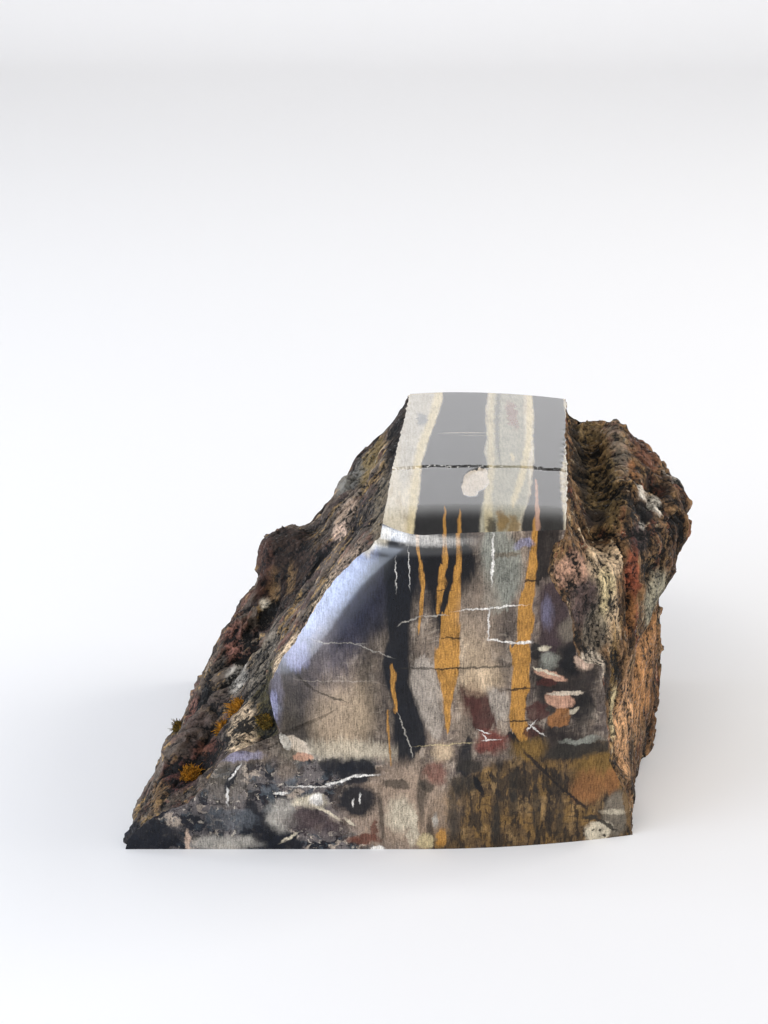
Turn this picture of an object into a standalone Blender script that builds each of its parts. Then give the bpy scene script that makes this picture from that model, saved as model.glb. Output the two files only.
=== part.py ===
"""A petrified wood sculpture: one stone with a sawn base, a polished front, a polished band along its top and
broken flanks and back, with dried moss in the hollows of its left flank.

Sizes are in millimetres and become metres as each mesh is made. X runs to the right across the front, Y from
the front to the back, and Z up, with the origin on the table under the middle of the stone.
"""

import math

import bmesh
import bpy
import numpy as np
from mathutils import Vector, noise
from mathutils.bvhtree import BVHTree

MILLIMETRE = 0.001
SHARP_EDGE = math.radians(35)

# The profiles below are measured from the middle of the front's lower edge, and these move the origin to the
# middle of the footprint.
FOOTPRINT_MIDDLE_X = 9.2
FOOTPRINT_MIDDLE_Y = 60.5

# How many faces the stone has along each side of the unit block that it starts from, and how near to a side
# of that block a point counts as on it.
FACES_ACROSS = 20
FACES_DEEP = 36
FACES_HIGH = 34
ON_SIDE = 0.001

# The top band: a polished strip, level over most of its length, that curves down to a ridge at the front.
BAND_HEIGHT = 103.5
BAND_CURVE_LENGTH = 18.0
BAND_CURVE_ANGLE = math.radians(26)
BAND_CROWN_MIDDLE_X = 26.0
BAND_CROWN = 0.0016

# The front: nearly upright and flat, falling back to the right, with its left and top edges rounded over.
FRONT_FALL_START_X = 10.0
FRONT_FALL_LENGTH = 64.0
FRONT_FALL = 8.0
FRONT_BULGE_HEIGHT = 45.0
FRONT_BULGE = 0.0005
LEFT_SLOPE = math.radians(53)
LEFT_ROUND_WIDTH = 10.0
LEFT_ROUND_ANGLE = math.radians(50)
LEFT_ROUND_FOOT = 40.0
RIDGE_HEIGHT = 99.9
TOP_ROUND_WIDTH = 5.0
TOP_ROUND_ANGLE = math.radians(40)

# The broken faces are uneven: broad lumps, smaller knobs, fibres up the slope, and single ridges, knobs and
# hollows, each (start, end, reach, height), with a height under 0 for a hollow. All fade out at a polished
# edge.
LUMP_SIZE = 19.0
LUMP_HEIGHT = 1.5
KNOB_SIZE = 9.0
KNOB_HEIGHT = 1.3
FIBRE_SIZE = 7.5
FIBRE_HEIGHT = 1.1
FIBRE_STRETCH = (0.3, 1.0, 0.2)
EDGE_FADE = 5.0
SINGLE_FORMS = (
    ((86, 72, 89), (83, 64, 89), 6.0, -5.0),
    ((92, 81, 84), (93, 76, 80), 6.0, 2.4),
    ((87, 97, 90), (86, 93, 90), 6.0, 2.2),
    ((76, 106, 96), (72, 70, 94), 4.5, 1.6),
    ((73, 52, 93), (72, 40, 90), 5.5, 2.2),
    ((62, 36, 89), (64, 28, 88), 6.0, -2.6),
    ((86, 60, 86), (81, 40, 71), 4.0, -2.4),
    ((71, 28, 86), (71, 24, 66), 3.5, -1.6),
    ((73, 34, 82), (74, 30, 60), 3.5, 1.4),
    ((84, 50, 56), (77, 36, 42), 6.5, -1.8),
    ((59, 9, 72), (62, 9, 64), 8.0, -1.6),
    ((-54, 22, 24), (-36, 62, 58), 4.5, -1.8),
    ((-32, 6, 42), (-37, 6, 36), 6.0, -2.0),
    ((-12, 92, 79), (-9, 96, 81), 6.0, 1.8),
    ((-44, 60, 47), (-52, 58, 36), 5.0, 1.2),
)

# The back: a broken face that swells a little at mid height and falls away to both sides.
BACK_TOP_DEPTH = 114.0
BACK_SWELL = 6.0
BACK_SWELL_HEIGHT = 118.0
BACK_SIDE_FALL = 4.0
BACK_HALF_WIDTH = 85.0

# The left flank slopes at about 53 degrees, with an outer slab of bark, and a pillar of it standing at the
# back. Each section is (share of the depth, its profile from the table up to the band as (x, z) points); the
# last point's height is the band's own. In front, the points mark the toe, two on the slab, its crest, the
# valley behind it, the crest of the grainy bank, four in the mossy recess, the polished face's left tip, the
# bank above that and the band. Further back, the third and fourth are the slab's crest and the fifth is the
# pillar's top.
LEFT_FLANK = (
    (0.0, ((-76.5, 0), (-75.2, 3.8), (-71, 8.3), (-65.5, 12.2), (-57, 16.5), (-52.2, 21), (-48, 29),
           (-43.5, 32.6), (-35, 33.2), (-29, 36.5), (-33.2, 49.4), (-25, 66.3), (-13.7, 84.5), (-0.3, 0))),
    (0.08, ((-76.3, 0), (-74.3, 5), (-70.5, 10.5), (-65, 15), (-56, 18), (-51, 24), (-46.5, 31),
            (-42, 36), (-37, 39), (-33.5, 43), (-32.8, 51), (-24.5, 66.5), (-13, 84.5), (0.6, 0))),
    (0.2, ((-75.3, 0), (-72, 6), (-68, 13), (-63, 21), (-53, 23.5), (-45, 34), (-41.5, 38.5),
           (-38, 42.5), (-34.8, 46.5), (-32.5, 50), (-29.5, 55), (-22, 68), (-11.5, 85), (1.5, 0))),
    (0.35, ((-72.6, 0), (-68.6, 7), (-64.2, 15), (-57.5, 27), (-46, 33), (-36.5, 47.5), (-34, 51.5),
            (-31.5, 55), (-29.3, 58.5), (-27, 62), (-24.5, 65.5), (-18.5, 74), (-9, 87), (2.6, 0))),
    (0.46, ((-70.8, 0), (-65.8, 10), (-58.7, 24), (-50.5, 41), (-38, 46), (-28.5, 62), (-26.5, 65),
            (-24.8, 67.5), (-23, 70), (-21, 72.8), (-18.5, 76), (-13, 83), (-5, 92.5), (3.6, 0))),
    (0.57, ((-69.3, 0), (-60.5, 19.5), (-45.2, 48.5), (-40.5, 54), (-36.8, 69.5), (-24, 72.5), (-20, 75.5),
            (-18.5, 77.5), (-16.8, 79.6), (-14.8, 82), (-12, 85), (-8, 89.3), (-2, 95.5), (4.7, 0))),
    (0.8, ((-66, 0), (-57, 16), (-45, 39), (-40.5, 46), (-37, 60), (-24, 63), (-19.5, 66.5),
           (-17, 69.5), (-14.6, 73), (-12, 77), (-9, 81.5), (-4.5, 87.5), (1.5, 94.3), (6.8, 0))),
    (1.0, ((-62, 0), (-55, 12), (-45.5, 31), (-40.5, 39), (-36, 51), (-25, 55), (-20, 60.5),
           (-17.3, 65), (-15, 69.5), (-12.6, 74), (-9, 80), (-3.5, 86.8), (2.8, 94), (8.4, 0))),
)

# The right flank is nearly upright, with a heavy bulge under its shoulder. The points mark the toe, six up
# the wall, three round the bulge, its shoulder, the ridge along the top, the hollow beside the band, the foot
# of the band's broken edge, and that edge.
RIGHT_FLANK = (
    (0.0, ((74.5, 0), (73.6, 6), (72, 14), (69, 20.5), (66.6, 25.5), (65, 38), (63.5, 50), (62.5, 57.5),
           (56.5, 60.5), (54, 66), (53.2, 74), (48.5, 83), (46.2, 88), (46.8, 95), (50.5, 0))),
    (0.08, ((75, 0), (74.3, 7), (73, 15), (71, 21), (69.5, 27), (68.5, 38), (67.5, 50), (67, 58),
            (66.5, 65), (66, 72), (64.5, 79), (59.5, 85), (56, 90), (53.6, 95.5), (52, 0))),
    (0.17, ((75.7, 0), (75.3, 8), (74.8, 16), (74.3, 24), (73.8, 32), (73.2, 42), (72.6, 52), (72, 62),
            (71.5, 70), (71, 78), (69.5, 84), (65.5, 86.5), (60, 88), (55.5, 94.5), (52.9, 0))),
    (0.38, ((81, 0), (81.5, 10), (82, 20), (82, 30), (82.5, 40), (83.5, 50), (86, 60), (89, 70),
            (90, 78), (87.5, 84), (79, 89.5), (72, 93), (63, 88.5), (56.8, 94), (54.8, 0))),
    (0.52, ((87.2, 0), (87.5, 9), (87.6, 20), (87.8, 30), (88.2, 40), (88, 50), (90, 60), (92.5, 70),
            (94, 78), (92.5, 84), (83.5, 89.3), (73, 94), (64, 87.5), (57.8, 94), (55.7, 0))),
    (0.72, ((88.5, 0), (89.5, 10), (89.7, 21), (89.7, 32), (89.5, 43), (90, 54), (91.5, 64), (94, 73),
            (93.8, 80), (90.5, 85.3), (84.5, 89.5), (74.5, 95.5), (66, 90), (59.3, 96), (57.2, 0))),
    (0.88, ((86.5, 0), (87.5, 10), (88, 21), (88, 32), (88, 43), (88.5, 54), (89.5, 64), (90, 73),
            (89, 82), (86, 88), (82, 92), (75, 96.5), (67, 93), (61, 97), (59, 0))),
    (1.0, ((83, 0), (84.5, 10), (85.5, 21), (85.5, 32), (85.5, 43), (86, 54), (87, 64), (87.5, 73),
           (86.5, 80), (84, 86), (80.5, 90.5), (75, 94.5), (68, 94), (62, 96.5), (60, 0))),
)

# The length of a flank's profile, which turns a share of its rows into millimetres.
FLANK_LENGTH = 130.0

# A line up the middle of the front and the back, which keeps their faces even beside the left flank's ledge.
MIDDLE_SHARE = 0.35
MIDDLE_LINE = ((-24, 0), (-18, 14), (-10, 28), (2, 55), (10, 80), (18, 0))


# Dried moss in the hollows of the left flank: (name, place, length, width and height of the lump, colour).
OCHRE = (0.38, 0.21, 0.03)
OLIVE = (0.11, 0.08, 0.03)
MOSS = (
    ("moss_upper_tuft", (-45.2, 26, 33.8), (9.0, 5.5, 3.6), OCHRE),
    ("moss_middle_tuft", (-49.2, 25.7, 27.0), (5.5, 4.5, 3.2), OCHRE),
    ("moss_lower_tuft", (-57.3, 14.7, 18.9), (6.5, 5.0, 3.4), OCHRE),
    ("moss_recess_tuft", (-35.6, 7.8, 39.1), (5.5, 4.5, 2.6), OLIVE),
    ("moss_outer_sprig", (-65.3, 57, 10.8), (3.6, 3.0, 3.4), OLIVE),
)
MOSS_GAP = 0.3
MOSS_LIFT = 0.25
MOSS_UNEVEN = 0.3
MOSS_ROUGHNESS = 0.95
STONE_COLOUR = (0.27, 0.22, 0.19)
STONE_ROUGHNESS = 0.4


def smooth_step(value):
    """0 below 0 and 1 above 1, with an even curve between."""
    value = np.clip(value, 0.0, 1.0)
    return value * value * (3.0 - 2.0 * value)


def curve_through(knots, values, at):
    """A smooth curve through values at knots that never swings past them. Values may hold several columns."""
    knots = np.asarray(knots, float)
    values = np.asarray(values, float)
    steps = np.diff(knots)
    slopes = np.diff(values, axis=0) / steps.reshape(-1, *[1] * (values.ndim - 1))
    tangents = np.zeros_like(values)
    same_way = slopes[:-1] * slopes[1:] > 0
    total = slopes[:-1] + slopes[1:]
    tangents[1:-1] = np.where(same_way, 2 * slopes[:-1] * slopes[1:] / np.where(same_way, total, 1.0), 0.0)
    tangents[0], tangents[-1] = slopes[0], slopes[-1]
    spans = np.clip(np.searchsorted(knots, at, side="right") - 1, 0, len(steps) - 1)
    shape = (-1, *[1] * (values.ndim - 1))
    width = steps[spans].reshape(shape)
    t = ((at - knots[spans]) / steps[spans]).reshape(shape)
    start, end = values[spans], values[spans + 1]
    leave, arrive = tangents[spans] * width, tangents[spans + 1] * width
    return (
        start * (2 * t**3 - 3 * t**2 + 1)
        + leave * (t**3 - 2 * t**2 + t)
        + end * (3 * t**2 - 2 * t**3)
        + arrive * (t**3 - t**2)
    )


def rounded_over(distance, width, angle):
    """How far a surface has fallen away at this distance from an edge that is rounded over to that angle."""
    return 0.5 * math.tan(angle) / width * np.clip(width - distance, 0.0, None) ** 2


def band_height(x, y):
    """The height of the polished band."""
    crown = BAND_CROWN * (x - BAND_CROWN_MIDDLE_X) ** 2
    return BAND_HEIGHT - crown - rounded_over(y, BAND_CURVE_LENGTH, BAND_CURVE_ANGLE)


def front_depth(x, z, from_left):
    """The depth of the polished front, for points at this distance from its left edge."""
    fall = FRONT_FALL * np.clip((x - FRONT_FALL_START_X) / FRONT_FALL_LENGTH, 0.0, None) ** 2
    bulge = FRONT_BULGE * (z - FRONT_BULGE_HEIGHT) ** 2
    left = rounded_over(from_left, LEFT_ROUND_WIDTH, LEFT_ROUND_ANGLE)
    left = left * smooth_step((z - LEFT_ROUND_FOOT) / LEFT_ROUND_WIDTH)
    top = rounded_over(RIDGE_HEIGHT - z, TOP_ROUND_WIDTH, TOP_ROUND_ANGLE)
    return fall + bulge + left + top


def back_depth(x, z):
    """The depth of the broken back."""
    swell = BACK_SWELL * np.sin(math.pi * z / BACK_SWELL_HEIGHT)
    sides = BACK_SIDE_FALL * ((x - FOOTPRINT_MIDDLE_X) / BACK_HALF_WIDTH) ** 2
    return BACK_TOP_DEPTH + swell - sides


def row_knots(profiles):
    """Where each of the profiles' points lies along them, from 0 to 1."""
    lengths = np.linalg.norm(np.diff(profiles, axis=1), axis=2).mean(axis=0)
    return np.concatenate([[0.0], np.cumsum(lengths)]) / lengths.sum()


def flank(sections, rows, columns):
    """The (x, z) of a flank at each row, from 0 at the table to 1 at the band, and column, from 0 at the
    front to 1 at the back, as an array indexed by column and row."""
    shares = np.array([share for share, _ in sections])
    profiles = np.array([profile for _, profile in sections], float)
    profiles[:, -1, 1] = band_height(profiles[:, -1, 0], shares * BACK_TOP_DEPTH)
    along = curve_through(row_knots(profiles), profiles.transpose(1, 0, 2), rows)
    return curve_through(shares, along.transpose(1, 0, 2), columns)


def middle_line(rows):
    """The (x, z) of the line up the middle of the front and the back at each row."""
    profile = np.array(MIDDLE_LINE, float)
    profile[-1, 1] = band_height(profile[-1, 0], 0.0)
    return curve_through(row_knots(profile[None]), profile, rows)


def rough(points, size, seed):
    """Noise between about -1 and 1 at each point, with lumps of this size in millimetres."""
    shift = Vector((seed * 7.31, seed * 3.17, seed * 5.79))
    return np.array([noise.noise(Vector(p) / size + shift) for p in points])


def single_forms(points):
    """How far the single ridges, knobs and hollows stand out at each point."""
    height = np.zeros(len(points))
    for start, end, reach, rise in SINGLE_FORMS:
        start, run = np.array(start, float), np.subtract(end, start)
        along = np.clip((points - start) @ run / max(run @ run, 1.0), 0.0, 1.0)
        distance = np.linalg.norm(points - start - along[:, None] * run, axis=1)
        height += rise * (1.0 - smooth_step(distance / reach))
    return height


def relief(points):
    """How far the broken stone stands out from the plain shape at each point."""
    lumps = LUMP_HEIGHT * rough(points, LUMP_SIZE, 1) + KNOB_HEIGHT * rough(points, KNOB_SIZE, 2)
    fibres = FIBRE_HEIGHT * rough(points * FIBRE_STRETCH, FIBRE_SIZE, 3)
    return lumps + fibres + single_forms(points)


def stone_points(cube):
    """Where each point of a unit cube's surface lies on the stone, in millimetres. The cube's sides are the
    stone's faces."""
    across, deep, high = cube.T
    rows, row_index = np.unique(high, return_inverse=True)
    columns, column_index = np.unique(deep, return_inverse=True)
    left = flank(LEFT_FLANK, rows, columns)[column_index, row_index]
    right = flank(RIGHT_FLANK, rows, columns)[column_index, row_index]
    middle = middle_line(rows)[row_index]
    near_left = np.clip(across / MIDDLE_SHARE, 0.0, 1.0)[:, None]
    near_right = np.clip((across - MIDDLE_SHARE) / (1.0 - MIDDLE_SHARE), 0.0, 1.0)[:, None]
    left_part = left + (middle - left) * near_left
    right_part = middle + (right - middle) * near_right
    x, z = np.where(near_left < 1.0, left_part, right_part).T
    front = front_depth(x, z, (x - left[:, 0]) * math.sin(LEFT_SLOPE))
    y = front + (back_depth(x, z) - front) * deep
    z = np.where(high > 1.0 - ON_SIDE, band_height(x, y), z)
    return np.stack([x, y, z], axis=1)


def block():
    """A bmesh of the unit block that the stone is shaped from, cut into faces along each side."""
    mesh = bmesh.new()
    bmesh.ops.create_cube(mesh, size=1.0)
    bmesh.ops.translate(mesh, verts=mesh.verts, vec=(0.5, 0.5, 0.5))
    for axis, faces in enumerate((FACES_ACROSS, FACES_DEEP, FACES_HIGH)):
        along = [e for e in mesh.edges if abs((e.verts[0].co - e.verts[1].co)[axis]) > 0.5]
        bmesh.ops.subdivide_edges(mesh, edges=along, cuts=faces - 1, use_grid_fill=True)
    return mesh


def place(mesh, points):
    """Moves the mesh's vertices to these points."""
    for vertex, point in zip(mesh.verts, points):
        vertex.co = point
    mesh.normal_update()


def stone_mesh():
    """The stone, in millimetres."""
    mesh = block()
    cube = np.array([v.co for v in mesh.verts])
    across, deep, high = cube.T
    points = stone_points(cube)
    place(mesh, points)
    outward = np.array([v.normal for v in mesh.verts])
    foot = high < ON_SIDE
    outward[foot, 2] = 0.0
    broken = (across < ON_SIDE) | (across > 1.0 - ON_SIDE) | (deep > 1.0 - ON_SIDE)
    fade_in = smooth_step(deep * BACK_TOP_DEPTH / EDGE_FADE)
    fade_out = smooth_step((1.0 - high) * FLANK_LENGTH / EDGE_FADE)
    inside_foot = foot & ~broken & (deep > ON_SIDE)
    points += outward * (relief(points) * fade_in * fade_out * broken)[:, None]
    place(mesh, points - (FOOTPRINT_MIDDLE_X, FOOTPRINT_MIDDLE_Y, 0.0))
    spare = [v for v, inside in zip(mesh.verts, inside_foot) if inside]
    bmesh.ops.delete(mesh, geom=spare, context="VERTS")
    bmesh.ops.contextual_create(mesh, geom=[e for e in mesh.edges if e.is_boundary])
    return mesh


def plain_material(name, colour, roughness):
    """A material of one colour."""
    material = bpy.data.materials.new(name)
    material.use_nodes = True
    shader = material.node_tree.nodes["Principled BSDF"]
    shader.inputs["Base Color"].default_value = (*colour, 1.0)
    shader.inputs["Roughness"].default_value = roughness
    return material


def add_object(name, mesh, material, location=(0.0, 0.0, 0.0)):
    """Turns a bmesh in millimetres into an object in metres, at a location that is in millimetres too."""
    bmesh.ops.scale(mesh, verts=mesh.verts, vec=(MILLIMETRE, MILLIMETRE, MILLIMETRE))
    bmesh.ops.recalc_face_normals(mesh, faces=mesh.faces)
    data = bpy.data.meshes.new(name)
    mesh.to_mesh(data)
    mesh.free()
    data.materials.append(material)
    data.shade_smooth()
    data.set_sharp_from_angle(angle=SHARP_EDGE)
    piece = bpy.data.objects.new(name, data)
    piece.location = Vector(location) * MILLIMETRE
    bpy.context.scene.collection.objects.link(piece)


def moss_mesh(stone, where, turn, size, seed):
    """A low lump of moss about its own middle, in millimetres, a hair's breadth clear of the stone under it."""
    mesh = bmesh.new()
    bmesh.ops.create_icosphere(mesh, subdivisions=2, radius=0.5)
    for vertex in mesh.verts:
        bump = 1.0 + MOSS_UNEVEN * noise.noise(vertex.co * 3.0 + Vector((seed, 0.0, 0.0)))
        across, along, up = (part * length * bump for part, length in zip(vertex.co, size))
        point = where + turn @ Vector((across, along, up + size[2] * MOSS_LIFT))
        near, outward, _, _ = stone.find_nearest(point)
        clear = (point - near).dot(outward)
        vertex.co = point + outward * max(0.0, MOSS_GAP - clear) - where
    return mesh


def add_moss(stone):
    """The tufts of moss, each on the stone at the point nearest to its place."""
    for seed, (name, place_on_stone, size, colour) in enumerate(MOSS):
        origin = Vector((FOOTPRINT_MIDDLE_X, FOOTPRINT_MIDDLE_Y, 0.0))
        where, outward, _, _ = stone.find_nearest(Vector(place_on_stone) - origin)
        turn = outward.to_track_quat("Z", "Y").to_matrix()
        mesh = moss_mesh(stone, where, turn, size, seed)
        add_object(name, mesh, plain_material(name, colour, MOSS_ROUGHNESS), where)


def main():
    for obj in list(bpy.data.objects):
        bpy.data.objects.remove(obj)
    stone = stone_mesh()
    add_moss(BVHTree.FromBMesh(stone))
    add_object("petrified_wood", stone, plain_material("petrified_wood", STONE_COLOUR, STONE_ROUGHNESS))


main()
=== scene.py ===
"""A petrified wood sculpture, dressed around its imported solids: one broken, sawn and polished stone with
dried moss in the hollows of its left flank, on a pale studio floor.

Lengths below are millimetres, measured from the middle of the front's lower edge: X to the right, Y to the
back and Z up. They become the frame's metres as each mesh or material is made.
"""

import math

import bmesh
import bpy
import numpy as np
from bpy.props import FloatProperty, FloatVectorProperty, IntProperty, PointerProperty
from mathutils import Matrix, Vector, noise
from mathutils.bvhtree import BVHTree


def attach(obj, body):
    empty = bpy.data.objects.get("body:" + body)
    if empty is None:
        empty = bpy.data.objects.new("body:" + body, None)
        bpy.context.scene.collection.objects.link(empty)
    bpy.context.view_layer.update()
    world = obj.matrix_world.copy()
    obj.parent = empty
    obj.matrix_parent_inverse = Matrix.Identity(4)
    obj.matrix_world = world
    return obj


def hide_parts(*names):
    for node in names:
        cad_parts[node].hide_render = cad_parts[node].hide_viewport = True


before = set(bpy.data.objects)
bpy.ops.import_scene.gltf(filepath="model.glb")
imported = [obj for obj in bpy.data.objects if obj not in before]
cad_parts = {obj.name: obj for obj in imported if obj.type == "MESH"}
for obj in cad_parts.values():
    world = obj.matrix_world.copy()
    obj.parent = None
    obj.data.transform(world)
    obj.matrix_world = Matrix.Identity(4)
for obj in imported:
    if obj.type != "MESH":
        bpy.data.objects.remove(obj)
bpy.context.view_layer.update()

bl_info = {
    "name": "Petrified Wood Sculpture",
    "version": (1, 0, 0),
    "blender": (4, 5, 0),
    "location": "3D View > Sidebar > Petrified Wood",
    "description": "Builds a petrified wood sculpture with dried moss, and a studio stage for it",
    "category": "Add Mesh",
}

MILLIMETRE = 0.001
SHARP_EDGE = math.radians(38)

# The middle of the footprint, where the frame has its origin.
FOOTPRINT_MIDDLE_X = 9.2
FOOTPRINT_MIDDLE_Y = 60.5

# How many faces the stone has along each side of the unit block that it starts from, how near to a side of
# that block a point counts as on it, and how its columns crowd together at the crack: (even share, crowded
# share).
FACES_ACROSS = 104
FACES_DEEP = 150
FACES_HIGH = 158
ON_SIDE = 0.001
BASE = 4
FRONT = 5
CROWDED_COLUMNS = ((0.0, 0.0), (0.36, 0.385), (0.46, 0.43), (1.0, 1.0))

# The top band: a polished strip, level over most of its length, that curves down to a ridge at the front.
BAND_HEIGHT = 103.5
BAND_CURVE_LENGTH = 18.0
BAND_CURVE_ANGLE = math.radians(26)
BAND_CROWN_MIDDLE_X = 26.0
BAND_CROWN = 0.0016

# The front: nearly upright and flat, falling back to the right, with its left and top edges rounded over.
FRONT_FALL_START_X = 10.0
FRONT_FALL_LENGTH = 64.0
FRONT_FALL = 8.0
FRONT_BULGE_HEIGHT = 45.0
FRONT_BULGE = 0.0005
LEFT_SLOPE = math.radians(53)
LEFT_ROUND_WIDTH = 10.0
LEFT_ROUND_ANGLE = math.radians(50)
LEFT_ROUND_FOOT = 40.0
RIDGE_HEIGHT = 99.9
TOP_ROUND_WIDTH = 5.0
TOP_ROUND_ANGLE = math.radians(40)

# The broken faces are uneven: broad lumps and smaller knobs, then fibres up the slope, each (size, height),
# and single ridges, knobs and hollows, each (start, end, reach, height), with a height under 0 for a hollow.
# All fade out at a polished edge.
LUMPS = ((19.0, 1.5), (9.0, 1.3))
FIBRES = (7.5, 1.1)
FIBRE_STRETCH = (0.3, 1.0, 0.2)
EDGE_FADE = 5.0
SINGLE_FORMS = (
    ((86, 72, 89), (83, 64, 89), 6.0, -5.0),
    ((92, 81, 84), (93, 76, 80), 6.0, 2.4),
    ((87, 97, 90), (86, 93, 90), 6.0, 2.2),
    ((76, 106, 96), (72, 70, 94), 4.5, 1.6),
    ((73, 52, 93), (72, 40, 90), 5.5, 2.2),
    ((62, 36, 89), (64, 28, 88), 6.0, -2.6),
    ((86, 60, 86), (81, 40, 71), 4.0, -2.4),
    ((71, 28, 86), (71, 24, 66), 3.5, -1.6),
    ((73, 34, 82), (74, 30, 60), 3.5, 1.4),
    ((84, 50, 56), (77, 36, 42), 6.5, -1.8),
    ((59, 9, 72), (62, 9, 64), 8.0, -1.6),
    ((-54, 22, 24), (-36, 62, 58), 4.5, -1.8),
    ((-32, 6, 42), (-37, 6, 36), 6.0, -2.0),
    ((-12, 92, 79), (-9, 96, 81), 6.0, 1.8),
    ((-44, 60, 47), (-52, 58, 36), 5.0, 1.2),
)

# The back: a broken face that swells a little at mid height and falls away to both sides.
BACK_TOP_DEPTH = 114.0
BACK_SWELL = 6.0
BACK_SWELL_HEIGHT = 118.0
BACK_SIDE_FALL = 4.0
BACK_HALF_WIDTH = 85.0

# The left flank slopes at about 53 degrees, with an outer slab of bark, and a pillar of it standing at the
# back. Each section is (share of the depth, its profile from the table up to the band as (x, z) points); the
# last point's height is the band's own. In front, the points mark the toe, two on the slab, its crest, the
# valley behind it, the crest of the grainy bank, four in the mossy recess, the polished face's left tip, the
# bank above that and the band. Further back, the third and fourth are the slab's crest and the fifth is the
# pillar's top.
LEFT_FLANK = (
    (0.0, ((-76.5, 0), (-75.2, 3.8), (-71, 8.3), (-65.5, 12.2), (-57, 16.5), (-52.2, 21), (-48, 29),
           (-43.5, 32.6), (-35, 33.2), (-29, 36.5), (-33.2, 49.4), (-25, 66.3), (-13.7, 84.5), (-0.3, 0))),
    (0.08, ((-76.3, 0), (-74.3, 5), (-70.5, 10.5), (-65, 15), (-56, 18), (-51, 24), (-46.5, 31),
            (-42, 36), (-37, 39), (-33.5, 43), (-32.8, 51), (-24.5, 66.5), (-13, 84.5), (0.6, 0))),
    (0.2, ((-75.3, 0), (-72, 6), (-68, 13), (-63, 21), (-53, 23.5), (-45, 34), (-41.5, 38.5),
           (-38, 42.5), (-34.8, 46.5), (-32.5, 50), (-29.5, 55), (-22, 68), (-11.5, 85), (1.5, 0))),
    (0.35, ((-72.6, 0), (-68.6, 7), (-64.2, 15), (-57.5, 27), (-46, 33), (-36.5, 47.5), (-34, 51.5),
            (-31.5, 55), (-29.3, 58.5), (-27, 62), (-24.5, 65.5), (-18.5, 74), (-9, 87), (2.6, 0))),
    (0.46, ((-70.8, 0), (-65.8, 10), (-58.7, 24), (-50.5, 41), (-38, 46), (-28.5, 62), (-26.5, 65),
            (-24.8, 67.5), (-23, 70), (-21, 72.8), (-18.5, 76), (-13, 83), (-5, 92.5), (3.6, 0))),
    (0.57, ((-69.3, 0), (-60.5, 19.5), (-45.2, 48.5), (-40.5, 54), (-36.8, 69.5), (-24, 72.5), (-20, 75.5),
            (-18.5, 77.5), (-16.8, 79.6), (-14.8, 82), (-12, 85), (-8, 89.3), (-2, 95.5), (4.7, 0))),
    (0.8, ((-66, 0), (-57, 16), (-45, 39), (-40.5, 46), (-37, 60), (-24, 63), (-19.5, 66.5),
           (-17, 69.5), (-14.6, 73), (-12, 77), (-9, 81.5), (-4.5, 87.5), (1.5, 94.3), (6.8, 0))),
    (1.0, ((-62, 0), (-55, 12), (-45.5, 31), (-40.5, 39), (-36, 51), (-25, 55), (-20, 60.5),
           (-17.3, 65), (-15, 69.5), (-12.6, 74), (-9, 80), (-3.5, 86.8), (2.8, 94), (8.4, 0))),
)

# The right flank is nearly upright, with a heavy bulge under its shoulder. The points mark the toe, six up
# the wall, three round the bulge, its shoulder, the ridge along the top, the hollow beside the band, the foot
# of the band's broken edge, and that edge.
RIGHT_FLANK = (
    (0.0, ((74.5, 0), (73.6, 6), (72, 14), (69, 20.5), (66.6, 25.5), (65, 38), (63.5, 50), (62.5, 57.5),
           (56.5, 60.5), (54, 66), (53.2, 74), (48.5, 83), (46.2, 88), (46.8, 95), (50.5, 0))),
    (0.08, ((75, 0), (74.3, 7), (73, 15), (71, 21), (69.5, 27), (68.5, 38), (67.5, 50), (67, 58),
            (66.5, 65), (66, 72), (64.5, 79), (59.5, 85), (56, 90), (53.6, 95.5), (52, 0))),
    (0.17, ((75.7, 0), (75.3, 8), (74.8, 16), (74.3, 24), (73.8, 32), (73.2, 42), (72.6, 52), (72, 62),
            (71.5, 70), (71, 78), (69.5, 84), (65.5, 86.5), (60, 88), (55.5, 94.5), (52.9, 0))),
    (0.38, ((81, 0), (81.5, 10), (82, 20), (82, 30), (82.5, 40), (83.5, 50), (86, 60), (89, 70),
            (90, 78), (87.5, 84), (79, 89.5), (72, 93), (63, 88.5), (56.8, 94), (54.8, 0))),
    (0.52, ((87.2, 0), (87.5, 9), (87.6, 20), (87.8, 30), (88.2, 40), (88, 50), (90, 60), (92.5, 70),
            (94, 78), (92.5, 84), (83.5, 89.3), (73, 94), (64, 87.5), (57.8, 94), (55.7, 0))),
    (0.72, ((88.5, 0), (89.5, 10), (89.7, 21), (89.7, 32), (89.5, 43), (90, 54), (91.5, 64), (94, 73),
            (93.8, 80), (90.5, 85.3), (84.5, 89.5), (74.5, 95.5), (66, 90), (59.3, 96), (57.2, 0))),
    (0.88, ((86.5, 0), (87.5, 10), (88, 21), (88, 32), (88, 43), (88.5, 54), (89.5, 64), (90, 73),
            (89, 82), (86, 88), (82, 92), (75, 96.5), (67, 93), (61, 97), (59, 0))),
    (1.0, ((83, 0), (84.5, 10), (85.5, 21), (85.5, 32), (85.5, 43), (86, 54), (87, 64), (87.5, 73),
           (86.5, 80), (84, 86), (80.5, 90.5), (75, 94.5), (68, 94), (62, 96.5), (60, 0))),
)

# The length of a flank's profile, which turns a share of its rows into millimetres.
FLANK_LENGTH = 130.0

# A line up the middle of the front and the back, which keeps their faces even beside the left flank's ledge.
MIDDLE_SHARE = 0.35
MIDDLE_LINE = ((-24, 0), (-18, 14), (-10, 28), (2, 55), (10, 80), (18, 0))

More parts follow.
